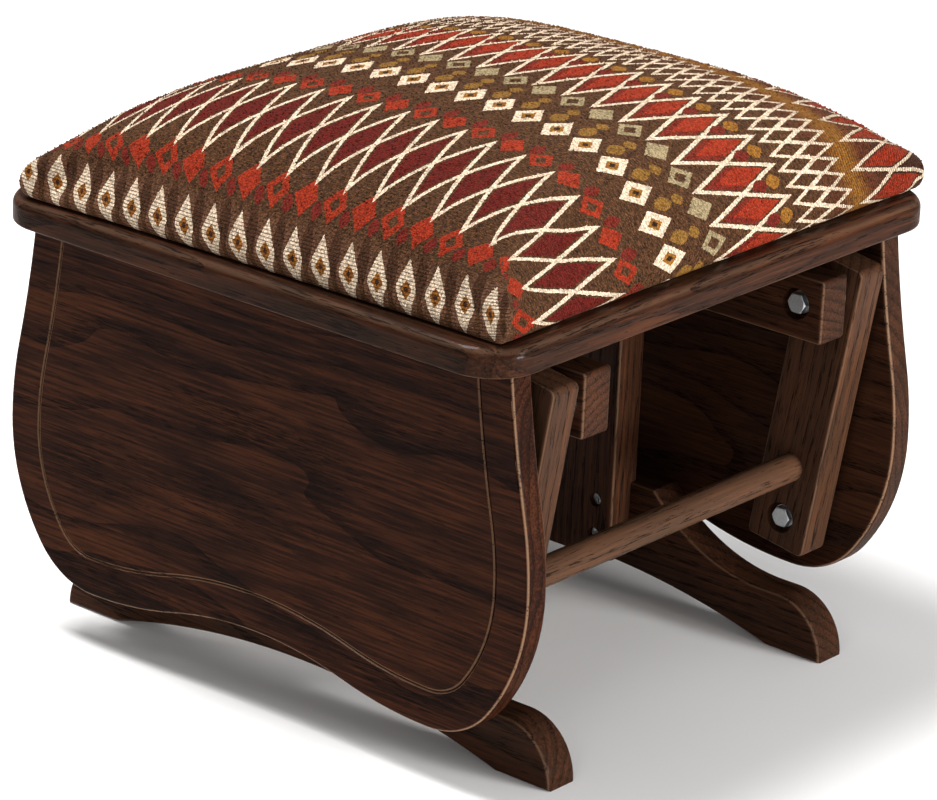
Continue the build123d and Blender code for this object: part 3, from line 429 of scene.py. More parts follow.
@dataclass(frozen=True)
class Tapestry:
    """Woven chenille and rayon tapestry in bands of diamonds, a traditional desert pattern.

    The eye gets a mottled brown pile ground, cream lines that stand up from it and break
    into knots, smooth dark red fills with a silky cast, and ribbed stretches where the
    weft floats.
    """

    yarn: float = 1.5           # size of a pile knot; real ones are 0.8 mm, too fine to show
    rib: float = 2.4            # spacing of the ribs, which are 1.2 mm apart in the real cloth
    cream: str = "dac3a8"
    ground: tuple[str, str] = ("1a0d05", "5f3b20")
    line: float = -3.0          # along the bands, to the first line of the lattices and drops
    pitch: float = 24.0         # and from each to the next
    drop_half: float = 8.0      # half width of a drop's belly
    drop_tip: float = -228.0    # across the bands: a drop's tip, its belly and its foot
    drop_belly: tuple[float, float] = (-250.5, -247.0)
    drop_foot: float = -270.0
    drop_eye: float = -249.0
    last_drop: float = -208.0   # along the bands: no drop beyond this, on the front corner
    droop: float = 5.0          # the last drop hangs this much lower
    droop_run: tuple[float, float] = (-196.0, -176.0)   # and the fall is made over this

    def bands(self) -> tuple[Band, ...]:
        """List the grounds.

        Returns:
            The grounds, in the order in which they are laid.
        """
        return (
            Band("6c4833", -300, -232, 10), Band("5c2812", 128, 190, 16),
            Band("8e5d1c", 142, 163, 8), Band("351a0e", 188, 300, 12),
        )

    def motifs(self) -> tuple[Motif, ...]:
        """List the rows of figures.

        Returns:
            The rows, in the order in which they are painted.
        """
        cream, burgundy, orange, gold = self.cream, "560b05", "8c260d", "8a5a1c"
        rust, olive, beige, brown = "66180d", "7d5822", "948362", "26140b"
        # figures stand on the lattice's own lines, or in the gaps half way between them
        line, gap = self.line, -14.0
        return (
            # dark drops between the row of teardrops
            Motif("3f2310", -238, 21, 4.6, gap, roundness=1.3),
            Motif("4a2c12", -262, 16, 3.0, gap),
            # the small red diamonds, alternately whole and hollow
            Motif(rust, -215, 7, 4.0, gap, roundness=1.5),
            Motif(orange, -207, 15, 9.5, 22, pitch=48),
            Motif(orange, -207, 15, 9.5, 46, pitch=48, inner=0.42),
            # the great burgundy lattice
            Motif(cream, -149, 47, 12.6, line, inner=0.84, outer=1.06),
            Motif(burgundy, -149, 34, 9.0, line),
            Motif(orange, -97, 12, 9.0, -13, pitch=48),
            Motif(orange, -97, 12, 9.0, 11, pitch=48, inner=0.45),
            Motif(rust, -88, 8, 4.2, line, roundness=1.45),
            # cream diamonds with a gold eye
            Motif(cream, -53, 17, 10.0, gap),
            Motif(gold, -53, 7.5, 4.8, gap),
            Motif(brown, -53, 3.2, 2.2, gap),
            Motif(olive, -37, 9, 5.2, line, roundness=1.45),
            Motif(olive, -22, 5.5, 4.4, line, roundness=1.45),
            Motif(beige, -7, 13, 9.0, -14, pitch=48),
            Motif(beige, -7, 13, 9.0, 10, pitch=48, inner=0.5),
            # the orange lattice
            Motif(cream, 39, 43, 12.6, line, inner=0.83, outer=1.06),
            Motif("6b190c", 38, 31, 9.2, line),
            Motif(orange, 45, 25, 7.6, line),
            Motif(rust, 58, 8, 4.6, gap, roundness=1.45),
            Motif(gold, 72, 7, 5.4, gap, roundness=1.45),
            # the close cream lattice beside the gold stripe
            Motif(cream, 104, 22, 7.0, 3.0, pitch=12, inner=0.70, outer=1.04),
            Motif(cream, 126, 22, 7.0, 9.0, pitch=12, inner=0.70, outer=1.04),
            # the last lattice, part of it turned under at the right
            Motif(cream, 203, 46, 12.6, line, inner=0.84, outer=1.06),
            Motif(orange, 203, 33, 9.2, line),
        )

    def figure(self) -> bpy.types.NodeTree:
        """Build the group that tells whether a point lies in one of a row of figures.

        Returns:
            The node group.
        """
        names = ("Across", "Step", "Centre", "Half across", "Half along", "Roundness", "Outer",
                 "Inner")
        tree, given, result = new_group("row_of_figures",
                                        {name: "NodeSocketFloat" for name in names},
                                        {"Mask": "NodeSocketFloat"})
        socket = given.outputs
        off = add_node(tree, MATH, (socket["Across"], socket["Centre"]), operation="SUBTRACT")
        off_share = add_node(tree, MATH, (off, socket["Half across"]), operation="DIVIDE")
        aside = add_node(tree, MATH, (off_share,), operation="ABSOLUTE")
        run = add_node(tree, MATH, (socket["Step"], socket["Half along"]), operation="DIVIDE")
        aside_part = add_node(tree, MATH, (aside, socket["Roundness"]), operation="POWER")
        run_part = add_node(tree, MATH, (run, socket["Roundness"]), operation="POWER")
        reach = add_node(tree, MATH, (aside_part, run_part), operation="ADD")
        within = add_node(tree, MATH, (reach, socket["Outer"]), operation="LESS_THAN")
        hollow = add_node(tree, MATH, (reach, socket["Inner"]), operation="LESS_THAN")
        mask = add_node(tree, MATH, (within, hollow), operation="SUBTRACT")
        feed(tree, result, {"Mask": mask})
        return tree

    @staticmethod
    def step(tree: bpy.types.NodeTree, along: bpy.types.NodeSocket, phase: float,
             pitch: float) -> bpy.types.NodeSocket:
        """Distance along the band to the middle of the nearest figure of a row.

        Args:
            tree: the material's tree.
            along: place along the bands.
            phase: the place of one figure's middle.
            pitch: from each figure to the next.

        Returns:
            The distance.
        """
        run = add_node(tree, MATH, (along, phase), operation="SUBTRACT")
        wrapped = add_node(tree, MATH, (run, pitch / 2, -pitch / 2), operation="WRAP")
        return add_node(tree, MATH, (wrapped,), operation="ABSOLUTE").outputs[0]

    def material(self) -> bpy.types.Material:
        """Make the material.

        Returns:
            The material.
        """
        material, tree, shader = new_material(
            "woven_tapestry", Roughness=0.9, Sheen_Weight=0.07, Sheen_Roughness=0.5,
            Sheen_Tint=linear("e8b98c"), Specular_IOR_Level=0.15)
        figure = self.figure()
        cloth = add_node(tree, "ShaderNodeAttribute", attribute_name=WEAVE)
        middle = add_node(tree, VECTOR_MATH, (cloth.outputs["Vector"], (0.5, 0.5, 0.0)),
                          operation="SUBTRACT")
        flat = add_node(tree, VECTOR_MATH, (middle, (WEAVE_SPAN, WEAVE_SPAN, 0.0)),
                        operation="MULTIPLY")
        # pile yarn never lies quite straight, so every outline wavers by about half a millimetre
        waver = add_node(tree, NOISE, {"Vector": flat, "Scale": 1 / self.yarn, "Detail": 1.0})
        centred = add_node(tree, VECTOR_MATH, (waver.outputs["Color"], (0.5, 0.5, 0.5)),
                           operation="SUBTRACT")
        nudge = add_node(tree, VECTOR_MATH, (centred, (2.2, 1.5, 0.0)), operation="MULTIPLY")
        moved = add_node(tree, VECTOR_MATH, (flat, nudge), operation="ADD")
        split = add_node(tree, "ShaderNodeSeparateXYZ", (moved,))
        across, along = split.outputs["X"], split.outputs["Y"]
        # the ground: fibres lying along the bands, 1.3 mm by 4 mm
        fibre_place = add_node(tree, MAPPING, {"Vector": flat, "Scale": (0.75, 0.25, 1.0)})
        fibres = add_node(tree, NOISE, {"Vector": fibre_place, "Scale": 1.0, "Detail": 4.0,
                                        "Roughness": 0.7})
        ground = add_node(tree, RAMP, (fibres.outputs["Fac"],),
                          stops=((0.32, self.ground[0]), (0.68, self.ground[1])))
        colour = ground.outputs[0]
        for band in self.bands():
            rise = add_node(tree, RANGE, {"Value": across, "From Min": band.start - band.soft,
                                          "From Max": band.start + band.soft})
            fall = add_node(tree, RANGE, {"Value": across, "From Min": band.end - band.soft,
                                          "From Max": band.end + band.soft,
                                          "To Min": 1.0, "To Max": 0.0})
            share = add_node(tree, MATH, (rise, fall), operation="MULTIPLY")
            most = add_node(tree, MATH, (share, 0.85), operation="MULTIPLY")
            laid = add_node(tree, MIX, {0: most, MIX_A: colour, MIX_B: linear(band.colour)},
                            data_type="RGBA")
            colour = laid.outputs[MIX_RESULT]
        steps = {key: self.step(tree, along, *key)
                 for key in sorted({(motif.phase, motif.pitch) for motif in self.motifs()})}
        for motif in self.motifs():
            colour = self.painted(tree, figure, motif, across,
                                  steps[motif.phase, motif.pitch], colour)
        # the row of drops stops short of the front corner: beyond it every drop is far away
        beyond = add_node(tree, MATH, (along, self.last_drop), operation="LESS_THAN")
        short = add_node(tree, MATH, (beyond, 100.0, steps[self.line, self.pitch]),
                         operation="MULTIPLY_ADD")
        # and the last one hangs lower, where the cloth is pulled round the corner
        start, end = self.droop_run
        droop = add_node(tree, RANGE, {"Value": along, "From Min": start, "From Max": end,
                                       "To Min": self.droop, "To Max": 0.0})
        lower = add_node(tree, MATH, (across, droop), operation="ADD")
        colour = self.teardrops(tree, figure, lower.outputs[0], short.outputs[0], colour)
        self.finish(tree, shader, flat, split, fibres, colour)
        return material

    def painted(self, tree: bpy.types.NodeTree, figure: bpy.types.NodeTree, motif: Motif,
                across: bpy.types.NodeSocket, step: bpy.types.NodeSocket,
                colour: bpy.types.NodeSocket) -> bpy.types.NodeSocket:
        """Paint one row of figures.

        Args:
            tree: the material's tree.
            figure: the group that tests a point.
            motif: the row.
            across: place across the bands.
            step: distance along the band to the middle of the nearest figure.
            colour: the cloth so far.

        Returns:
            The cloth with the row on it.
        """
        inside = add_node(tree, "ShaderNodeGroup", node_tree=figure)
        feed(tree, inside, {"Across": across, "Step": step, "Centre": motif.centre,
                            "Half across": motif.half_across, "Half along": motif.half_along,
                            "Outer": motif.outer, "Roundness": motif.roundness,
                            "Inner": motif.inner})
        laid = add_node(tree, MIX, {0: inside, MIX_A: colour, MIX_B: linear(motif.colour)},
                        data_type="RGBA")
        return laid.outputs[MIX_RESULT]

    def teardrops(self, tree: bpy.types.NodeTree, figure: bpy.types.NodeTree,
                  across: bpy.types.NodeSocket, step: bpy.types.NodeSocket,
                  colour: bpy.types.NodeSocket) -> bpy.types.NodeSocket:
        """Paint the row of cream drops along the left edge, each with a gold eye.

        Args:
            tree: the material's tree.
            figure: the group that tests a point.
            across: place across the bands.
            step: distance along the band to the middle of the nearest drop.
            colour: the cloth so far.

        Returns:
            The cloth with the drops on it.
        """
        # the half width falls from the belly to nothing at the tip and just below the seam
        low, high = self.drop_belly
        tip = add_node(tree, RANGE, {"Value": across, "From Min": high,
                                     "From Max": self.drop_tip,
                                     "To Min": self.drop_half, "To Max": 0.0})
        foot = add_node(tree, RANGE, {"Value": across, "From Min": self.drop_foot,
                                      "From Max": low, "To Min": 0.0,
                                      "To Max": self.drop_half})
        half = add_node(tree, MATH, (tip, foot), operation="MINIMUM")
        inside = add_node(tree, MATH, (step, half), operation="LESS_THAN")
        laid = add_node(tree, MIX, {0: inside, MIX_A: colour, MIX_B: linear(self.cream)},
                        data_type="RGBA")
        colour = laid.outputs[MIX_RESULT]
        for eye in (Motif("8a5215", self.drop_eye, 6.4, 4.8, self.line),
                    Motif("34190a", self.drop_eye, 2.4, 2.0, self.line)):
            colour = self.painted(tree, figure, eye, across, step, colour)
        return colour

    def finish(self, tree: bpy.types.NodeTree, shader: bpy.types.Node, flat: bpy.types.Node,
               split: bpy.types.Node, fibres: bpy.types.Node,
               colour: bpy.types.NodeSocket) -> None:
        """Lay ribs and knots over the woven colours, with painted shade in the rib grooves and
        painted highlight and shade on the knots, and join them to the shader.

        Args:
            tree: the material's tree.
            shader: its Principled shader.
            flat: place on the cloth.
            split: the same, wavering, as separate numbers.
            fibres: the ground's fibres.
            colour: the woven colours.
        """
        # ribs show in the stretches where the weft floats: the left edge and the gold stripe.
        # Their grooves are darkened towards dark brown as painted shade.
        straight = add_node(tree, "ShaderNodeSeparateXYZ", (flat,))
        turns = add_node(tree, MATH, (straight.outputs["X"], 2 * math.pi / self.rib),
                         operation="MULTIPLY")
        wave = add_node(tree, MATH, (turns,), operation="SINE")
        groove = add_node(tree, RANGE, {"Value": wave, "From Min": -0.2, "From Max": -0.9})
        left = add_node(tree, RANGE, {"Value": split.outputs["X"], "From Min": -238.0,
                                      "From Max": -226.0, "To Min": 1.0, "To Max": 0.0})
        right = add_node(tree, RANGE, {"Value": split.outputs["X"], "From Min": 112.0,
                                       "From Max": 134.0})
        floats = add_node(tree, MATH, (left, right), operation="ADD")
        ribs = add_node(tree, MATH, (groove, floats), operation="MULTIPLY")
        # painted shade: the rib grooves are mixed toward dark brown
        shaded = add_node(tree, MATH, (ribs, 0.65), operation="MULTIPLY")
        ribbed = add_node(tree, MIX, {0: shaded, MIX_A: colour, MIX_B: linear("241208")},
                          data_type="RGBA")
        # painted highlight and painted shade: each knot is lightened at its middle and darkened
        # towards its edges; the fleck is the yarn's own mottle
        knots = add_node(tree, "ShaderNodeTexVoronoi", {"Vector": flat,
                                                        "Scale": 1 / self.yarn})
        dimple = add_node(tree, RANGE, {"Value": knots.outputs["Distance"], "From Min": 0.2,
                                        "From Max": 0.75, "To Min": 1.25, "To Max": 0.55})
        fleck = add_node(tree, RANGE, {"Value": fibres.outputs["Fac"], "From Min": 0.3,
                                       "From Max": 0.7, "To Min": 0.75, "To Max": 1.3})
        knot_shading_and_fleck = add_node(tree, MATH, (dimple, fleck), operation="MULTIPLY")
        lit = add_node(tree, VECTOR_MATH, {0: ribbed.outputs[MIX_RESULT], "Scale": knot_shading_and_fleck},
                       operation="SCALE")
        # pale yarn stands highest; knots and ribs break it up
        pale = add_node(tree, "ShaderNodeRGBToBW", (colour,))
        raised = add_node(tree, MATH, (pale, 1.2, dimple), operation="MULTIPLY_ADD")
        cut = add_node(tree, MATH, (ribs, -0.6, raised), operation="MULTIPLY_ADD")
        bump = add_node(tree, "ShaderNodeBump", {"Height": cut, "Strength": 0.9,
                                                 "Distance": 0.8 * MM})
        feed(tree, shader, {"Base Color": lit, "Normal": bump})


# ---- sub-assemblies ---------------------------------------------------------------------
@dataclass
class Base:
    """The part that stands still: feet, posts, side rails and cross rails."""

    oak: StainedOak

    def dress(self) -> None:
        """Give each board a cut of its own."""
        boards = {
            "left_foot": (Grain.FRONT_REAR, Face.SIDE, (40.0, 70.0, 60.0), 0.2),
            "right_foot": (Grain.FRONT_REAR, Face.SIDE, (410.0, 30.0, 90.0), 0.2),
            "left_post": (Grain.UPRIGHT, Face.SIDE, (120.0, 60.0, 85.0), 0.55),
            "right_post": (Grain.UPRIGHT, Face.SIDE, (700.0, 35.0, 60.0), 0.3),
            "left_rail": (Grain.FRONT_REAR, Face.SIDE, (910.0, 50.0, 120.0), 0.35),
            "right_rail": (Grain.FRONT_REAR, Face.SIDE, (1300.0, 45.0, 75.0), 0.3),
            "front_cross_rail": (Grain.LEFT_RIGHT, Face.END, (330.0, 110.0, 50.0), 0.3),
            "rear_cross_rail": (Grain.LEFT_RIGHT, Face.END, (1800.0, 55.0, 95.0), 0.3),
        }
        # the fourth number paints the arrises paler as wear and painted highlight; 0.05 is
        # painted light over each whole board
        for name, (grain, face, cut, wear_and_highlight) in boards.items():
            wear([name], self.oak.board(name, grain, face, cut, wear_and_highlight, 0.05))


@dataclass
class SwingArms:
    """The four hanging arms and the two dowels that tie them in pairs."""

    oak: StainedOak

    def dress(self) -> None:
        """Give each arm and dowel a cut of its own."""
        for place, (end, grain) in enumerate((("front", Grain.FRONT_ARM),
                                              ("rear", Grain.REAR_ARM))):
            for side, step in (("left", 150.0), ("right", 620.0)):
                name = f"{end}_{side}_arm"
                cut = (step, 50.0 + 20.0 * place, 80.0)
                # pale=0.11 paints each arm paler all over: painted light
                wear([name], self.oak.board(name, grain, Face.SIDE, cut, pale=0.11))
            name = f"{end}_dowel"
            cut = (2100.0 + 500.0 * place, 40.0, 60.0)
            # the dowels' 0.18 is painted light over the whole dowel
            wear([name], self.oak.board(name, Grain.LEFT_RIGHT, Face.SIDE, cut, 0.0, 0.18))


@dataclass
class SeatFrame:
    """The mitred frame, its cleats and pins, and the board that it carries."""

    oak: StainedOak
    beech: PaleWood
    plywood: PaleWood

    def dress(self) -> None:
        """Run the grain along each member, as a joiner does."""
        for name, grain, along in (("seat_frame_front", Grain.LEFT_RIGHT, 500.0),
                                   ("seat_frame_rear", Grain.LEFT_RIGHT, 1500.0),
                                   ("seat_frame_left", Grain.FRONT_REAR, 900.0),
                                   ("seat_frame_right", Grain.FRONT_REAR, 2400.0)):
            cut = (along, 60.0, -230.0)
            # 0.12 paints the arrises paler as wear and painted highlight; 0.03 is painted light
            # over each member
            wear([name], self.oak.board(name, grain, Face.FLAT, cut, 0.12, 0.03))
        for name, along in (("left_cleat", 200.0), ("right_cleat", 800.0)):
            wear([name], self.oak.board(name, Grain.FRONT_REAR, Face.SIDE, (along, 90.0, 45.0)))
        wear(["mitre_pins"], self.beech.material())
        wear(["deck_board"], self.plywood.material())


@dataclass
class SidePanels:
    """The two vase-shaped panels that hang from the seat frame."""

    oak: StainedOak

    def dress(self) -> None:
        """Lay a wide flat-sawn board on each side, with its cathedrals lying level."""
        # 0.7 paints the arrises and the routed groove paler, as wear and painted highlight; the
        # right panel's 0.05 is painted light on its shaded inner face
        for name, cut, pale in (("left_panel", (60.0, 95.0, -150.0), 0.0),
                                ("right_panel", (990.0, -40.0, -120.0), 0.05)):
            wear([name], self.oak.board(name, Grain.FRONT_REAR, Face.SIDE, cut, 0.7, pale))


@dataclass
class PivotHardware:
    """Bolts, washers, bearings, inserts and wood screws."""

    zinc: Metal
    steel: Metal
    brass: Metal

    def dress(self) -> None:
        """Zinc for what is screwed in, steel for what turns, brass for the inserts."""
        ends = ("foot_screws", "cross_rail_screws", "cleat_screws", "deck_screws",
                "front_upper_bolts", "rear_upper_bolts", "lower_pivot_bolts",
                "front_upper_washers", "rear_upper_washers", "lower_pivot_washers")
        wear(ends, self.zinc.material())
        turning = ("upper_bearing_outer_rings", "upper_bearing_balls",
                   "front_upper_sleeves", "rear_upper_sleeves", "lower_pivot_sleeves",
                   "front_upper_inner_rings", "rear_upper_inner_rings",
                   "front_lower_outer_rings", "rear_lower_outer_rings",
                   "front_lower_bearing_balls", "lower_bearing_inner_rings")
        wear(turning, self.steel.material())
        wear(("front_arm_inserts", "rear_arm_inserts", "panel_inserts"),
             self.brass.material())


@dataclass
class Cushion:
    """The crowned cushion, its cover pulled down to the frame on all four sides."""

    left: float = 230.5         # from the middle to the fullest part of each side
    right: float = 234.5
    front: float = 213.0
    rear: float = 205.5
    rise: float = 81.5
    seat_top: float = 317.3     # a hair above the frame, so that the two never share a face
    crown: float = 2.0          # exponent of the level in the profile
    profile_x: float = 2.79     # exponent of the width in the profile
    profile_y: float = 2.46
    tuck: float = 9.9           # the lower edge is drawn in by this much
    tuck_level: float = 0.3     # below this share of the rise
    square_seam: float = 30.0   # squareness of the outline at the seam, the belly and the top
    square_belly: float = 25.8
    square_top: float = 3.55
    square_fall: float = 0.7    # how the squareness falls from the belly to the top
    ear: float = 0.03           # the corners of the seam stand out by this share
    corner_power: int = 14      # how closely ears and lobe keep to the corners
    lobe: tuple[float, float] = (2.0, 8.0)      # the near left corner swells out by this
    lobe_level: float = 0.5                     # between the seam and this share of the rise
    turn: float = 1.37          # the cover sits a little twisted on the frame, in degrees
    shear: float = -0.014       # and is pulled this much out of square
    drop_tips: float = 228.0    # the row of drops stays on the left wall, beyond this
    lean: float = 0.3           # the cloth on the two side walls is pulled forward as it falls
    gather: float = 1.05        # the seam gathers the side walls' cloth by this
    settle: float = 15.0        # and the cloth reaches that this far below the shoulder
    shoulder: float = 0.55      # the wall rises to this share, and the top grid starts there
    pitch: float = 5.0          # size of the top's faces
    wall_pitch: float = 3.8     # height of the walls' faces
    deck: tuple[float, float, float] = (210.5, 192.5, 329.6)    # the board inside, with room
    pressure: float = 2.6       # pull of the padding in the simulation
    stretch: float = 40.0       # stiffness of the cover against stretching
    fold: float = 2.0           # and against folding
    mass: float = 0.3           # the cloth's mass at each point
    quality: int = 6            # steps that each frame is worked out in
    frames: int = 20            # length of the simulation
    cap: float = 0.024          # the most that a point may move

    def half_sizes(self, level: np.ndarray) -> tuple[np.ndarray, np.ndarray, np.ndarray,
                                                     np.ndarray, np.ndarray]:
        """Half sizes and squareness of the outline at a level.

        Args:
            level: share of the rise, 0 at the seam and 1 at the crown.

        Returns:
            Left, right, front and rear half sizes, and the outline's exponent.
        """
        drawn = self.tuck * np.clip(1 - level / self.tuck_level, 0, 1) ** 2
        shape = np.clip(1 - level ** self.crown, 0, 1)
        wide, deep = shape ** (1 / self.profile_x), shape ** (1 / self.profile_y)
        ease = np.clip(level / self.tuck_level, 0, 1)
        ease = ease * ease * (3 - 2 * ease)
        low = 1 / self.square_seam + (1 / self.square_belly - 1 / self.square_seam) * ease
        above = np.clip((level - self.tuck_level) / (1 - self.tuck_level), 0, 1)
        high = (1 / self.square_top - 1 / self.square_belly) * above ** self.square_fall
        return (self.left * wide - drawn, self.right * wide - drawn, self.front * deep - drawn,
                self.rear * deep - drawn, 1 / (low + high))

    def outline(self, p: np.ndarray, q: np.ndarray, level: np.ndarray) -> np.ndarray:
        """Points of the outline at a level.

        Args:
            p: left to right place on a square of half size 1.
            q: front to rear place on it.
            level: share of the rise.

        Returns:
            X and Y of each point, in millimetres.
        """
        left, right, front, rear, square = self.half_sizes(level)
        reach = np.maximum(np.abs(p), np.abs(q))
        safe = np.maximum(reach, 1e-9)
        spread = np.maximum(np.abs(p / safe) ** square + np.abs(q / safe) ** square,
                            1) ** (-1 / square)
        pull = 1 + (spread - 1) * reach ** 2
        power = self.corner_power
        pull += self.ear * np.abs(p * q) ** power * np.clip(1 - level / self.shoulder, 0, 1)
        corner = np.clip(-p, 0, 1) ** power * np.clip(-q, 0, 1) ** power * np.sin(
            math.pi * np.clip(level / self.lobe_level, 0, 1))
        lobe_x, lobe_y = self.lobe
        return np.stack([
            np.where(p < 0, left, right) * p * pull - lobe_x * corner,
            np.where(q < 0, front, rear) * q * pull - lobe_y * corner], -1)

    def level_at(self, xy: np.ndarray) -> np.ndarray:
        """The level of the crown above each point, found by halving.

        Args:
            xy: the points, in millimetres.

        Returns:
            Shares of the rise.
        """
        low, high = np.full(len(xy), 0.0), np.full(len(xy), 1.0)
        for _ in range(HALVINGS):
            level = (low + high) / 2
            left, right, front, rear, square = self.half_sizes(level)
            x = np.abs(xy[:, 0]) / np.maximum(np.where(xy[:, 0] < 0, left, right), 1e-6)
            y = np.abs(xy[:, 1]) / np.maximum(np.where(xy[:, 1] < 0, front, rear), 1e-6)
            outside = np.log(np.maximum(x, y) + 1e-12) + np.log(
                1 + (np.minimum(x, y) / (np.maximum(x, y) + 1e-12)) ** square) / square > 0
            high, low = np.where(outside, level, high), np.where(outside, low, level)
        return (low + high) / 2

    def run_of_cloth(self, values: np.ndarray, across: bool) -> np.ndarray:
        """Length of cloth from the crown to places on the middle line, over the crown's curve.

        Args:
            values: places along the middle line, in millimetres.
            across: True for the line from left to right.

        Returns:
            Signed lengths.
        """
        level = np.linspace(1, self.tuck_level, CURVE_POINTS)
        sizes = self.half_sizes(level)
        result = np.zeros_like(values)
        for sign, half in ((-1, sizes[0 if across else 2]), (1, sizes[1 if across else 3])):
            steps = np.hypot(np.diff(half), np.diff(level) * self.rise)
            run = np.concatenate([[0], np.cumsum(steps)])
            here = np.sign(values) == sign
            far = np.abs(values[here])
            result[here] = sign * (np.interp(far, half, run) + np.maximum(far - half[-1], 0))
        return result

    def build(self, material: bpy.types.Material) -> bpy.types.Object:
        """Build the cover and swell it.

        Args:
            material: the tapestry.

        Returns:
            The finished piece.
        """
        points, faces, places, held = self.shell()
        mesh = bpy.data.meshes.new("tapestry_cushion")
        mesh.from_pydata([tuple(point * MM) for point in points], [], faces)
        layer = mesh.uv_layers.new(name=WEAVE)
        layer.data.foreach_set("uv", (places / WEAVE_SPAN + 0.5).astype(np.float32).ravel())
        mesh.polygons.foreach_set("use_smooth", [True] * len(faces))
        mesh.materials.append(material)
        piece = bpy.data.objects.new("tapestry_cushion", mesh)
        bpy.context.scene.collection.objects.link(piece)
        self.swell(piece, held)
        rounded = piece.modifiers.new("rounded", "SUBSURF")
        rounded.levels = rounded.render_levels = 1
        return piece

    def shell(self) -> tuple[np.ndarray, list[tuple[int, ...]], np.ndarray, list[int]]:
        """Lay out the closed shell: top grid, four walls and the underside round the board.

        Returns:
            Points in millimetres, faces, cloth place of each face corner in millimetres, and
            the points that the frame holds.
        """
        left, right, front, rear, _ = self.half_sizes(np.array(self.shoulder))
        wide, deep = (round(float(size) / self.pitch / 2) * 2
                      for size in (left + right, front + rear))
        p, q = np.meshgrid(np.linspace(-1, 1, wide + 1), np.linspace(-1, 1, deep + 1))
        p, q = p.ravel(), q.ravel()
        top = self.outline(p, q, np.array(self.shoulder))
        level = self.level_at(top)
        points = [np.column_stack([top, self.seat_top + self.rise * level])]
        cloth = self.over_crown(top)
        at = np.arange((wide + 1) * (deep + 1)).reshape(deep + 1, wide + 1)
        faces = self.grid(at)
        places = [cloth[np.array(faces).ravel()]]
        rim = np.concatenate([at[0, :-1], at[:-1, -1], at[-1, :0:-1], at[:0:-1, 0]])
        sector = np.repeat([0, 1, 2, 3], [wide, deep, wide, deep])      # front, right, rear, left
        count = len(rim)
        rows = round(self.rise * self.shoulder / self.wall_pitch)
        ring, fallen = rim, np.zeros(count)
        last, beside = points[0][rim], np.column_stack([cloth[rim], top[rim, 1]])
        for row in range(1, rows + 1):
            height = self.shoulder * (1 - row / rows)
            wall = np.column_stack([self.outline(p[rim], q[rim], np.array(height)),
                                    np.full(count, self.seat_top + self.rise * height)])
            lower = len(np.concatenate(points)) + np.arange(count)
            points.append(wall)
            deeper = fallen + np.linalg.norm(wall - last, axis=1)
            below = np.column_stack([self.over_crown(wall), wall[:, 1]])
            faces += self.band(ring, lower)
            for i in range(count):
                j = (i + 1) % count
                places.append(np.array([self.on_wall(cloth[rim[k]], spot[k], sector[i], run[k],
                                                     self.lean * float(run.min()))
                                        for k, spot, run in (
                                            (i, beside, fallen), (i, below, deeper),
                                            (j, below, deeper), (j, beside, fallen))]))
            ring, fallen, last, beside = lower, deeper, wall, below
        held = [int(i) for i in ring]
        # the underside runs in to the board's edge, up its side and across its top
        deck_x, deck_y, deck_top = self.deck
        seam = last[:, :2]
        inner = np.column_stack([p[rim] * deck_x, q[rim] * deck_y])
        for share, height in ((0.5, self.seat_top), (1.0, self.seat_top)):
            lower = len(np.concatenate(points)) + np.arange(count)
            points.append(np.column_stack([seam + (inner - seam) * share,
                                           np.full(count, height)]))
            faces += self.band(ring, lower)
            for i in range(count):
                j = (i + 1) % count
                places.append(np.array([self.on_wall(cloth[rim[k]], beside[k], sector[i],
                                                     fallen[k] + self.pitch, 0.0)
                                        for k in (i, i, j, j)]))
            ring = lower
            held += [int(i) for i in ring]
        base = len(np.concatenate(points))
        points.append(np.column_stack([p * deck_x, q * deck_y, np.full(len(p), deck_top)]))
        held += [int(i) for i in range(base, base + len(p))]
        faces += self.band(ring, base + rim)
        places.append(cloth[np.array(self.band(rim, rim)).ravel()])
        deck = self.grid(base + at, looks_down=True)
        faces += deck
        places.append(cloth[np.array(deck).ravel() - base])
        everything = np.concatenate(points)
        self.twist(everything[:base - count])
        return everything, faces, np.concatenate(places), held

    @staticmethod
    def grid(at: np.ndarray, looks_down: bool = False) -> list[tuple[int, ...]]:
        """Faces between rows and columns of points.

        Args:
            at: each point's number, by row and column.
            looks_down: True where the faces point down.

        Returns:
            The faces.
        """
        quads = np.stack([at[:-1, :-1], at[:-1, 1:], at[1:, 1:], at[1:, :-1]], -1)
        quads = quads.reshape(-1, 4)[:, [0, 3, 2, 1] if looks_down else [0, 1, 2, 3]]
        return [tuple(int(point) for point in quad) for quad in quads]

    @staticmethod
    def band(upper: np.ndarray, lower: np.ndarray) -> list[tuple[int, ...]]:
        """Faces between two closed rings of points."""
        quads = np.stack([upper, lower, np.roll(lower, -1), np.roll(upper, -1)], -1)
        return [tuple(int(point) for point in quad) for quad in quads]

    def over_crown(self, points: np.ndarray) -> np.ndarray:
        """Cloth places above points, measured over the crown from its middle."""
        return np.column_stack([self.run_of_cloth(points[:, 0], True),
                                self.run_of_cloth(points[:, 1], False)])

    def on_wall(self, shoulder: np.ndarray, beside: np.ndarray, sector: int,
                fallen: float, slid: float) -> tuple[float, float]:
        """Cloth place of a point that hangs below the shoulder on one of the four walls.

        Args:
            shoulder: cloth place of the shoulder above it.
            beside: cloth place that its own X and Y would have on the crown, and its Y.
            sector: 0 to 3 for the front, right, rear and left wall.
            fallen: length of cloth from the shoulder.
            slid: how far a side wall's cloth is pulled forward there.

        Returns:
            Its place across and along the bands.
        """
        if sector in (0, 2):
            return max(beside[0], -self.drop_tips), shoulder[1] + (fallen if sector else -fallen)
        hung = min(fallen / self.settle, 1.0)
        along = shoulder[1] + (self.gather * beside[2] - shoulder[1]) * hung
        return shoulder[0] + (fallen if sector == 1 else -fallen), along + slid

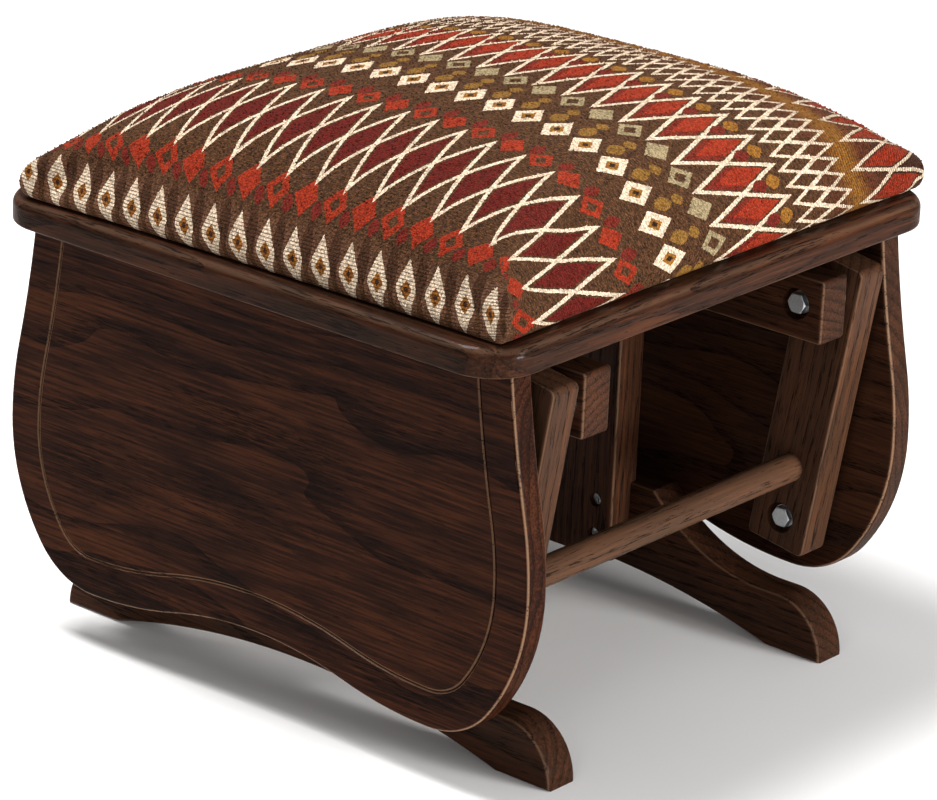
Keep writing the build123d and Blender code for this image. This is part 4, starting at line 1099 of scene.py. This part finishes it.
    def twist(self, points: np.ndarray) -> None:
        """Turn and shear points in place, as the cover sits on the frame.

        Args:
            points: the points, which are changed.
        """
        angle = math.radians(self.turn)
        x, y = points[:, 0].copy(), points[:, 1].copy()
        points[:, 0] = x * math.cos(angle) - y * math.sin(angle)
        points[:, 1] = x * math.sin(angle) + y * math.cos(angle) + self.shear * x

    def swell(self, piece: bpy.types.Object, held: list[int]) -> None:
        """Let the padding push the cover out, with its lower edge held on the frame.

        Args:
            piece: the cover, whose mesh is changed.
            held: the points that stay.
        """
        group = piece.vertex_groups.new(name="held")
        group.add(held, 1.0, "REPLACE")
        cloth = piece.modifiers.new("padding", "CLOTH")
        settings = cloth.settings
        settings.quality = self.quality
        settings.mass = self.mass
        settings.use_pressure = True
        settings.uniform_pressure_force = self.pressure
        settings.tension_stiffness = self.stretch
        settings.compression_stiffness = self.stretch
        settings.bending_stiffness = self.fold
        settings.effector_weights.gravity = 0.0
        settings.vertex_group_mass = group.name
        scene = bpy.context.scene
        for number in range(1, self.frames + 1):
            scene.frame_set(number)
        moved = piece.evaluated_get(bpy.context.evaluated_depsgraph_get()).to_mesh()
        count = len(piece.data.vertices)
        before, after = np.empty(count * 3, np.float32), np.empty(count * 3, np.float32)
        piece.data.vertices.foreach_get("co", before)
        moved.vertices.foreach_get("co", after)
        before, after = before.reshape(-1, 3), after.reshape(-1, 3)
        step = after - before
        length = np.linalg.norm(step, axis=1, keepdims=True)
        step *= np.minimum(1, self.cap / np.maximum(length, 1e-9))
        LOG.info("padding moved the cover by %.1f mm at most", float(length.max()) * 1000)
        piece.modifiers.remove(cloth)
        piece.vertex_groups.remove(group)
        scene.frame_set(1)
        piece.data.vertices.foreach_set("co", (before + step).ravel())
        piece.data.update()


@dataclass
class Nap:
    """The pile that stands up from the chenille yarn, as short tufts all over the cover."""

    density: float = 88000.0    # tufts on a square metre; real pile is far denser
    radius: float = 0.0006
    height: float = 0.0011
    lean: float = 0.7           # the most that a tuft tips over, in radians
    spin: float = 6.0           # and that it turns on its root
    sizes: tuple[float, float] = (0.6, 1.3)     # the smallest and the largest tuft's share
    seed: int = 11
    lowest: float = -0.35       # tufts grow where the cover's normal rises above this

    def tree(self) -> bpy.types.NodeTree:
        """Build the tree that sows tufts over a mesh.

        Returns:
            The node group.
        """
        tree, given, result = new_group(
            "pile_tufts",
            {"Cover": "NodeSocketGeometry", "Density": "NodeSocketFloat",
             "Radius": "NodeSocketFloat", "Height": "NodeSocketFloat",
             "Lean": "NodeSocketFloat", "Lowest": "NodeSocketFloat",
             "Seed": "NodeSocketInt", "Yarn": "NodeSocketMaterial"},
            {"Tufts": "NodeSocketGeometry"}, "GeometryNodeTree")
        socket = given.outputs
        normal = add_node(tree, "GeometryNodeInputNormal")
        parts = add_node(tree, "ShaderNodeSeparateXYZ", (normal,))
        shown = add_node(tree, MATH, (parts.outputs["Z"], socket["Lowest"]),
                         operation="GREATER_THAN")
        sown = add_node(tree, "GeometryNodeDistributePointsOnFaces",
                        {"Mesh": socket["Cover"], "Selection": shown,
                         "Density": socket["Density"], "Seed": socket["Seed"]})
        tuft = add_node(tree, "GeometryNodeMeshCone",
                        {"Vertices": 4, "Radius Top": 0.0, "Radius Bottom": socket["Radius"],
                         "Depth": socket["Height"]})
        least = add_node(tree, MATH, (socket["Lean"], -1.0), operation="MULTIPLY")
        low = add_node(tree, "ShaderNodeCombineXYZ", (least, least, 0.0))
        high = add_node(tree, "ShaderNodeCombineXYZ", (socket["Lean"], socket["Lean"],
                                                         self.spin))
        tip = add_node(tree, "FunctionNodeRandomValue", {0: low, 1: high, 8: socket["Seed"]},
                       data_type="FLOAT_VECTOR")
        tipped = add_node(tree, "FunctionNodeEulerToRotation", (tip.outputs[0],))
        stood = add_node(tree, "FunctionNodeRotateRotation",
                         {"Rotation": sown.outputs["Rotation"], "Rotate By": tipped},
                         rotation_space="LOCAL")
        small, large = self.sizes
        size = add_node(tree, "FunctionNodeRandomValue",
                        {2: small, 3: large, 8: socket["Seed"]}, data_type="FLOAT")
        placed = add_node(tree, "GeometryNodeInstanceOnPoints",
                          {"Points": sown.outputs["Points"], "Instance": tuft.outputs["Mesh"],
                           "Rotation": stood, "Scale": size.outputs[1]})
        real = add_node(tree, "GeometryNodeRealizeInstances", (placed,))
        dyed = add_node(tree, "GeometryNodeSetMaterial",
                        {"Geometry": real, "Material": socket["Yarn"]})
        feed(tree, result, {"Tufts": dyed})
        tree.is_modifier = True
        return tree

    def build(self, cover: bpy.types.Object, yarn: bpy.types.Material) -> bpy.types.Object:
        """Sow the tufts on the finished cover.

        Args:
            cover: the cushion's cover, in its final shape.
            yarn: the tapestry, which gives each tuft its colour by its place on the cloth.

        Returns:
            The tufts as one plain mesh.
        """
        surface = bpy.data.meshes.new_from_object(
            cover.evaluated_get(bpy.context.evaluated_depsgraph_get()))
        ground = bpy.data.objects.new("cover_surface", surface)
        bpy.context.scene.collection.objects.link(ground)
        tree = self.tree()
        sowing = ground.modifiers.new("sowing", "NODES")
        sowing.node_group = tree
        values = {"Density": self.density, "Radius": self.radius, "Height": self.height,
                  "Lean": self.lean, "Lowest": self.lowest, "Seed": self.seed, "Yarn": yarn}
        for item in tree.interface.items_tree:
            if item.in_out == "INPUT" and item.name in values:
                sowing[item.identifier] = values[item.name]
        mesh = bpy.data.meshes.new_from_object(
            ground.evaluated_get(bpy.context.evaluated_depsgraph_get()))
        bpy.data.objects.remove(ground)
        bpy.data.meshes.remove(surface)
        mesh.name = "cover_nap"
        nap = bpy.data.objects.new("cover_nap", mesh)
        bpy.context.scene.collection.objects.link(nap)
        LOG.info("cover_nap: %d faces", len(mesh.polygons))
        return nap


@dataclass
class Studio:
    """Pale floor, four soft lights and the camera."""

    focal: float = 4908.2       # in pixels of the picture's own width
    width: int = 937
    azimuth: float = -50.553
    elevation: float = 20.706
    roll: float = 2.519
    distance: float = 3.318938
    target: tuple[float, float, float] = (-0.004658, -0.008796, 0.171866)
    sensor: float = 36.0

    def build(self) -> None:
        """Make the floor, the lights and the camera."""
        self.floor()
        self.lights()
        self.camera()

    def floor(self) -> None:
        """Lay a pale seamless floor."""
        half = 9.0
        mesh = bpy.data.meshes.new("studio_floor")
        mesh.from_pydata([(-half, -half, 0), (half, -half, 0), (half, half, 0),
                          (-half, half, 0)], [], [(0, 1, 2, 3)])
        paper, tree, shader = new_material("matt_paper", Roughness=0.9)
        spot = add_node(tree, "ShaderNodeTexCoord")
        mottle = add_node(tree, NOISE, {"Vector": spot.outputs["Object"], "Scale": 3.0})
        tone = add_node(tree, RAMP, (mottle.outputs["Fac"],),
                        stops=((0.3, "f8f7f5"), (0.7, "fcfbfa")))
        feed(tree, shader, {"Base Color": tone})
        mesh.materials.append(paper)
        floor = bpy.data.objects.new("studio_floor", mesh)
        bpy.context.scene.collection.objects.link(floor)

    def lights(self) -> None:
        """Hang the softboxes and light the room evenly."""
        for name, place, size, power in (
            ("front_softbox", (0.9, -2.9, 1.8), 0.8, 34.0),
            ("low_softbox", (0.35, -3.0, 0.4), 0.7, 88.0),
            ("rear_softbox", (-0.5, 0.9, 2.8), 1.0, 112.0),
            ("left_softbox", (-2.4, -1.0, 1.5), 0.8, 7.0),
        ):
            lamp = bpy.data.lights.new(name, "AREA")
            lamp.shape = "SQUARE"
            lamp.size = size
            lamp.energy = power
            box = bpy.data.objects.new(name, lamp)
            box.location = place
            aim = Vector(self.target) - Vector(place)
            box.rotation_euler = aim.to_track_quat("-Z", "Y").to_euler()
            bpy.context.scene.collection.objects.link(box)
        world = bpy.data.worlds.new("white_room")
        world.use_nodes = True
        feed(world.node_tree, world.node_tree.nodes["Background"],
             {"Color": linear("f4f4f6"), "Strength": 0.4})
        scene = bpy.context.scene
        scene.world = world
        scene.view_settings.view_transform = "Standard"

    def camera(self) -> None:
        """Stand the camera where the photograph was taken from."""
        azimuth, elevation, roll = (math.radians(angle) for angle in
                                    (self.azimuth, self.elevation, self.roll))
        back = Vector((math.sin(azimuth) * math.cos(elevation),
                       -math.cos(azimuth) * math.cos(elevation), math.sin(elevation)))
        side = (-back).cross(Vector((0, 0, 1))).normalized()
        up = side.cross(-back)
        right = side * math.cos(roll) + up * math.sin(roll)
        over = up * math.cos(roll) - side * math.sin(roll)
        view = bpy.data.cameras.new("studio_camera")
        view.sensor_width = self.sensor
        view.lens = self.focal / self.width * self.sensor
        view.clip_end = 30.0
        camera = bpy.data.objects.new("studio_camera", view)
        place = Vector(self.target) + back * self.distance
        camera.matrix_world = Matrix.Translation(place) @ Matrix(
            (right, over, back)).transposed().to_4x4()
        bpy.context.scene.collection.objects.link(camera)
        bpy.context.scene.camera = camera


def main() -> None:
    """Build and dress the ottoman, one sub-assembly after another."""
    logging.basicConfig(level=logging.INFO, format="%(message)s")
    oak = StainedOak()
    Studio().build()
    Base(oak).dress()
    SwingArms(oak).dress()
    SeatFrame(StainedOak(lacquer=0.07), PaleWood("beech_pins", "d9b88a", "b58c5c", 0.8),
              PaleWood("birch_veneers", "d8bd92", "a3804f", 1.5, layer=1.4)).dress()
    SidePanels(oak).dress()
    PivotHardware(Metal("zinc_plate", "dfe2e4", "b4b9bd", 0.42, 1.4),
                  Metal("ground_bearing_steel", "e6e8ea", "c2c6c9", 0.28, 0.8),
                  Metal("turned_brass", "d9b25c", "a88338", 0.3, 1.0)).dress()
    tapestry = Tapestry().material()
    cushion = Cushion().build(tapestry)
    nap = Nap().build(cushion, tapestry)
    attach(nap, "seat")
    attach(cushion, "seat")
    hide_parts("cushion_cover", "foam_pad")
    LOG.info("tapestry_cushion: %d faces before rounding", len(cushion.data.polygons))


if __name__ == "__main__":
    main()
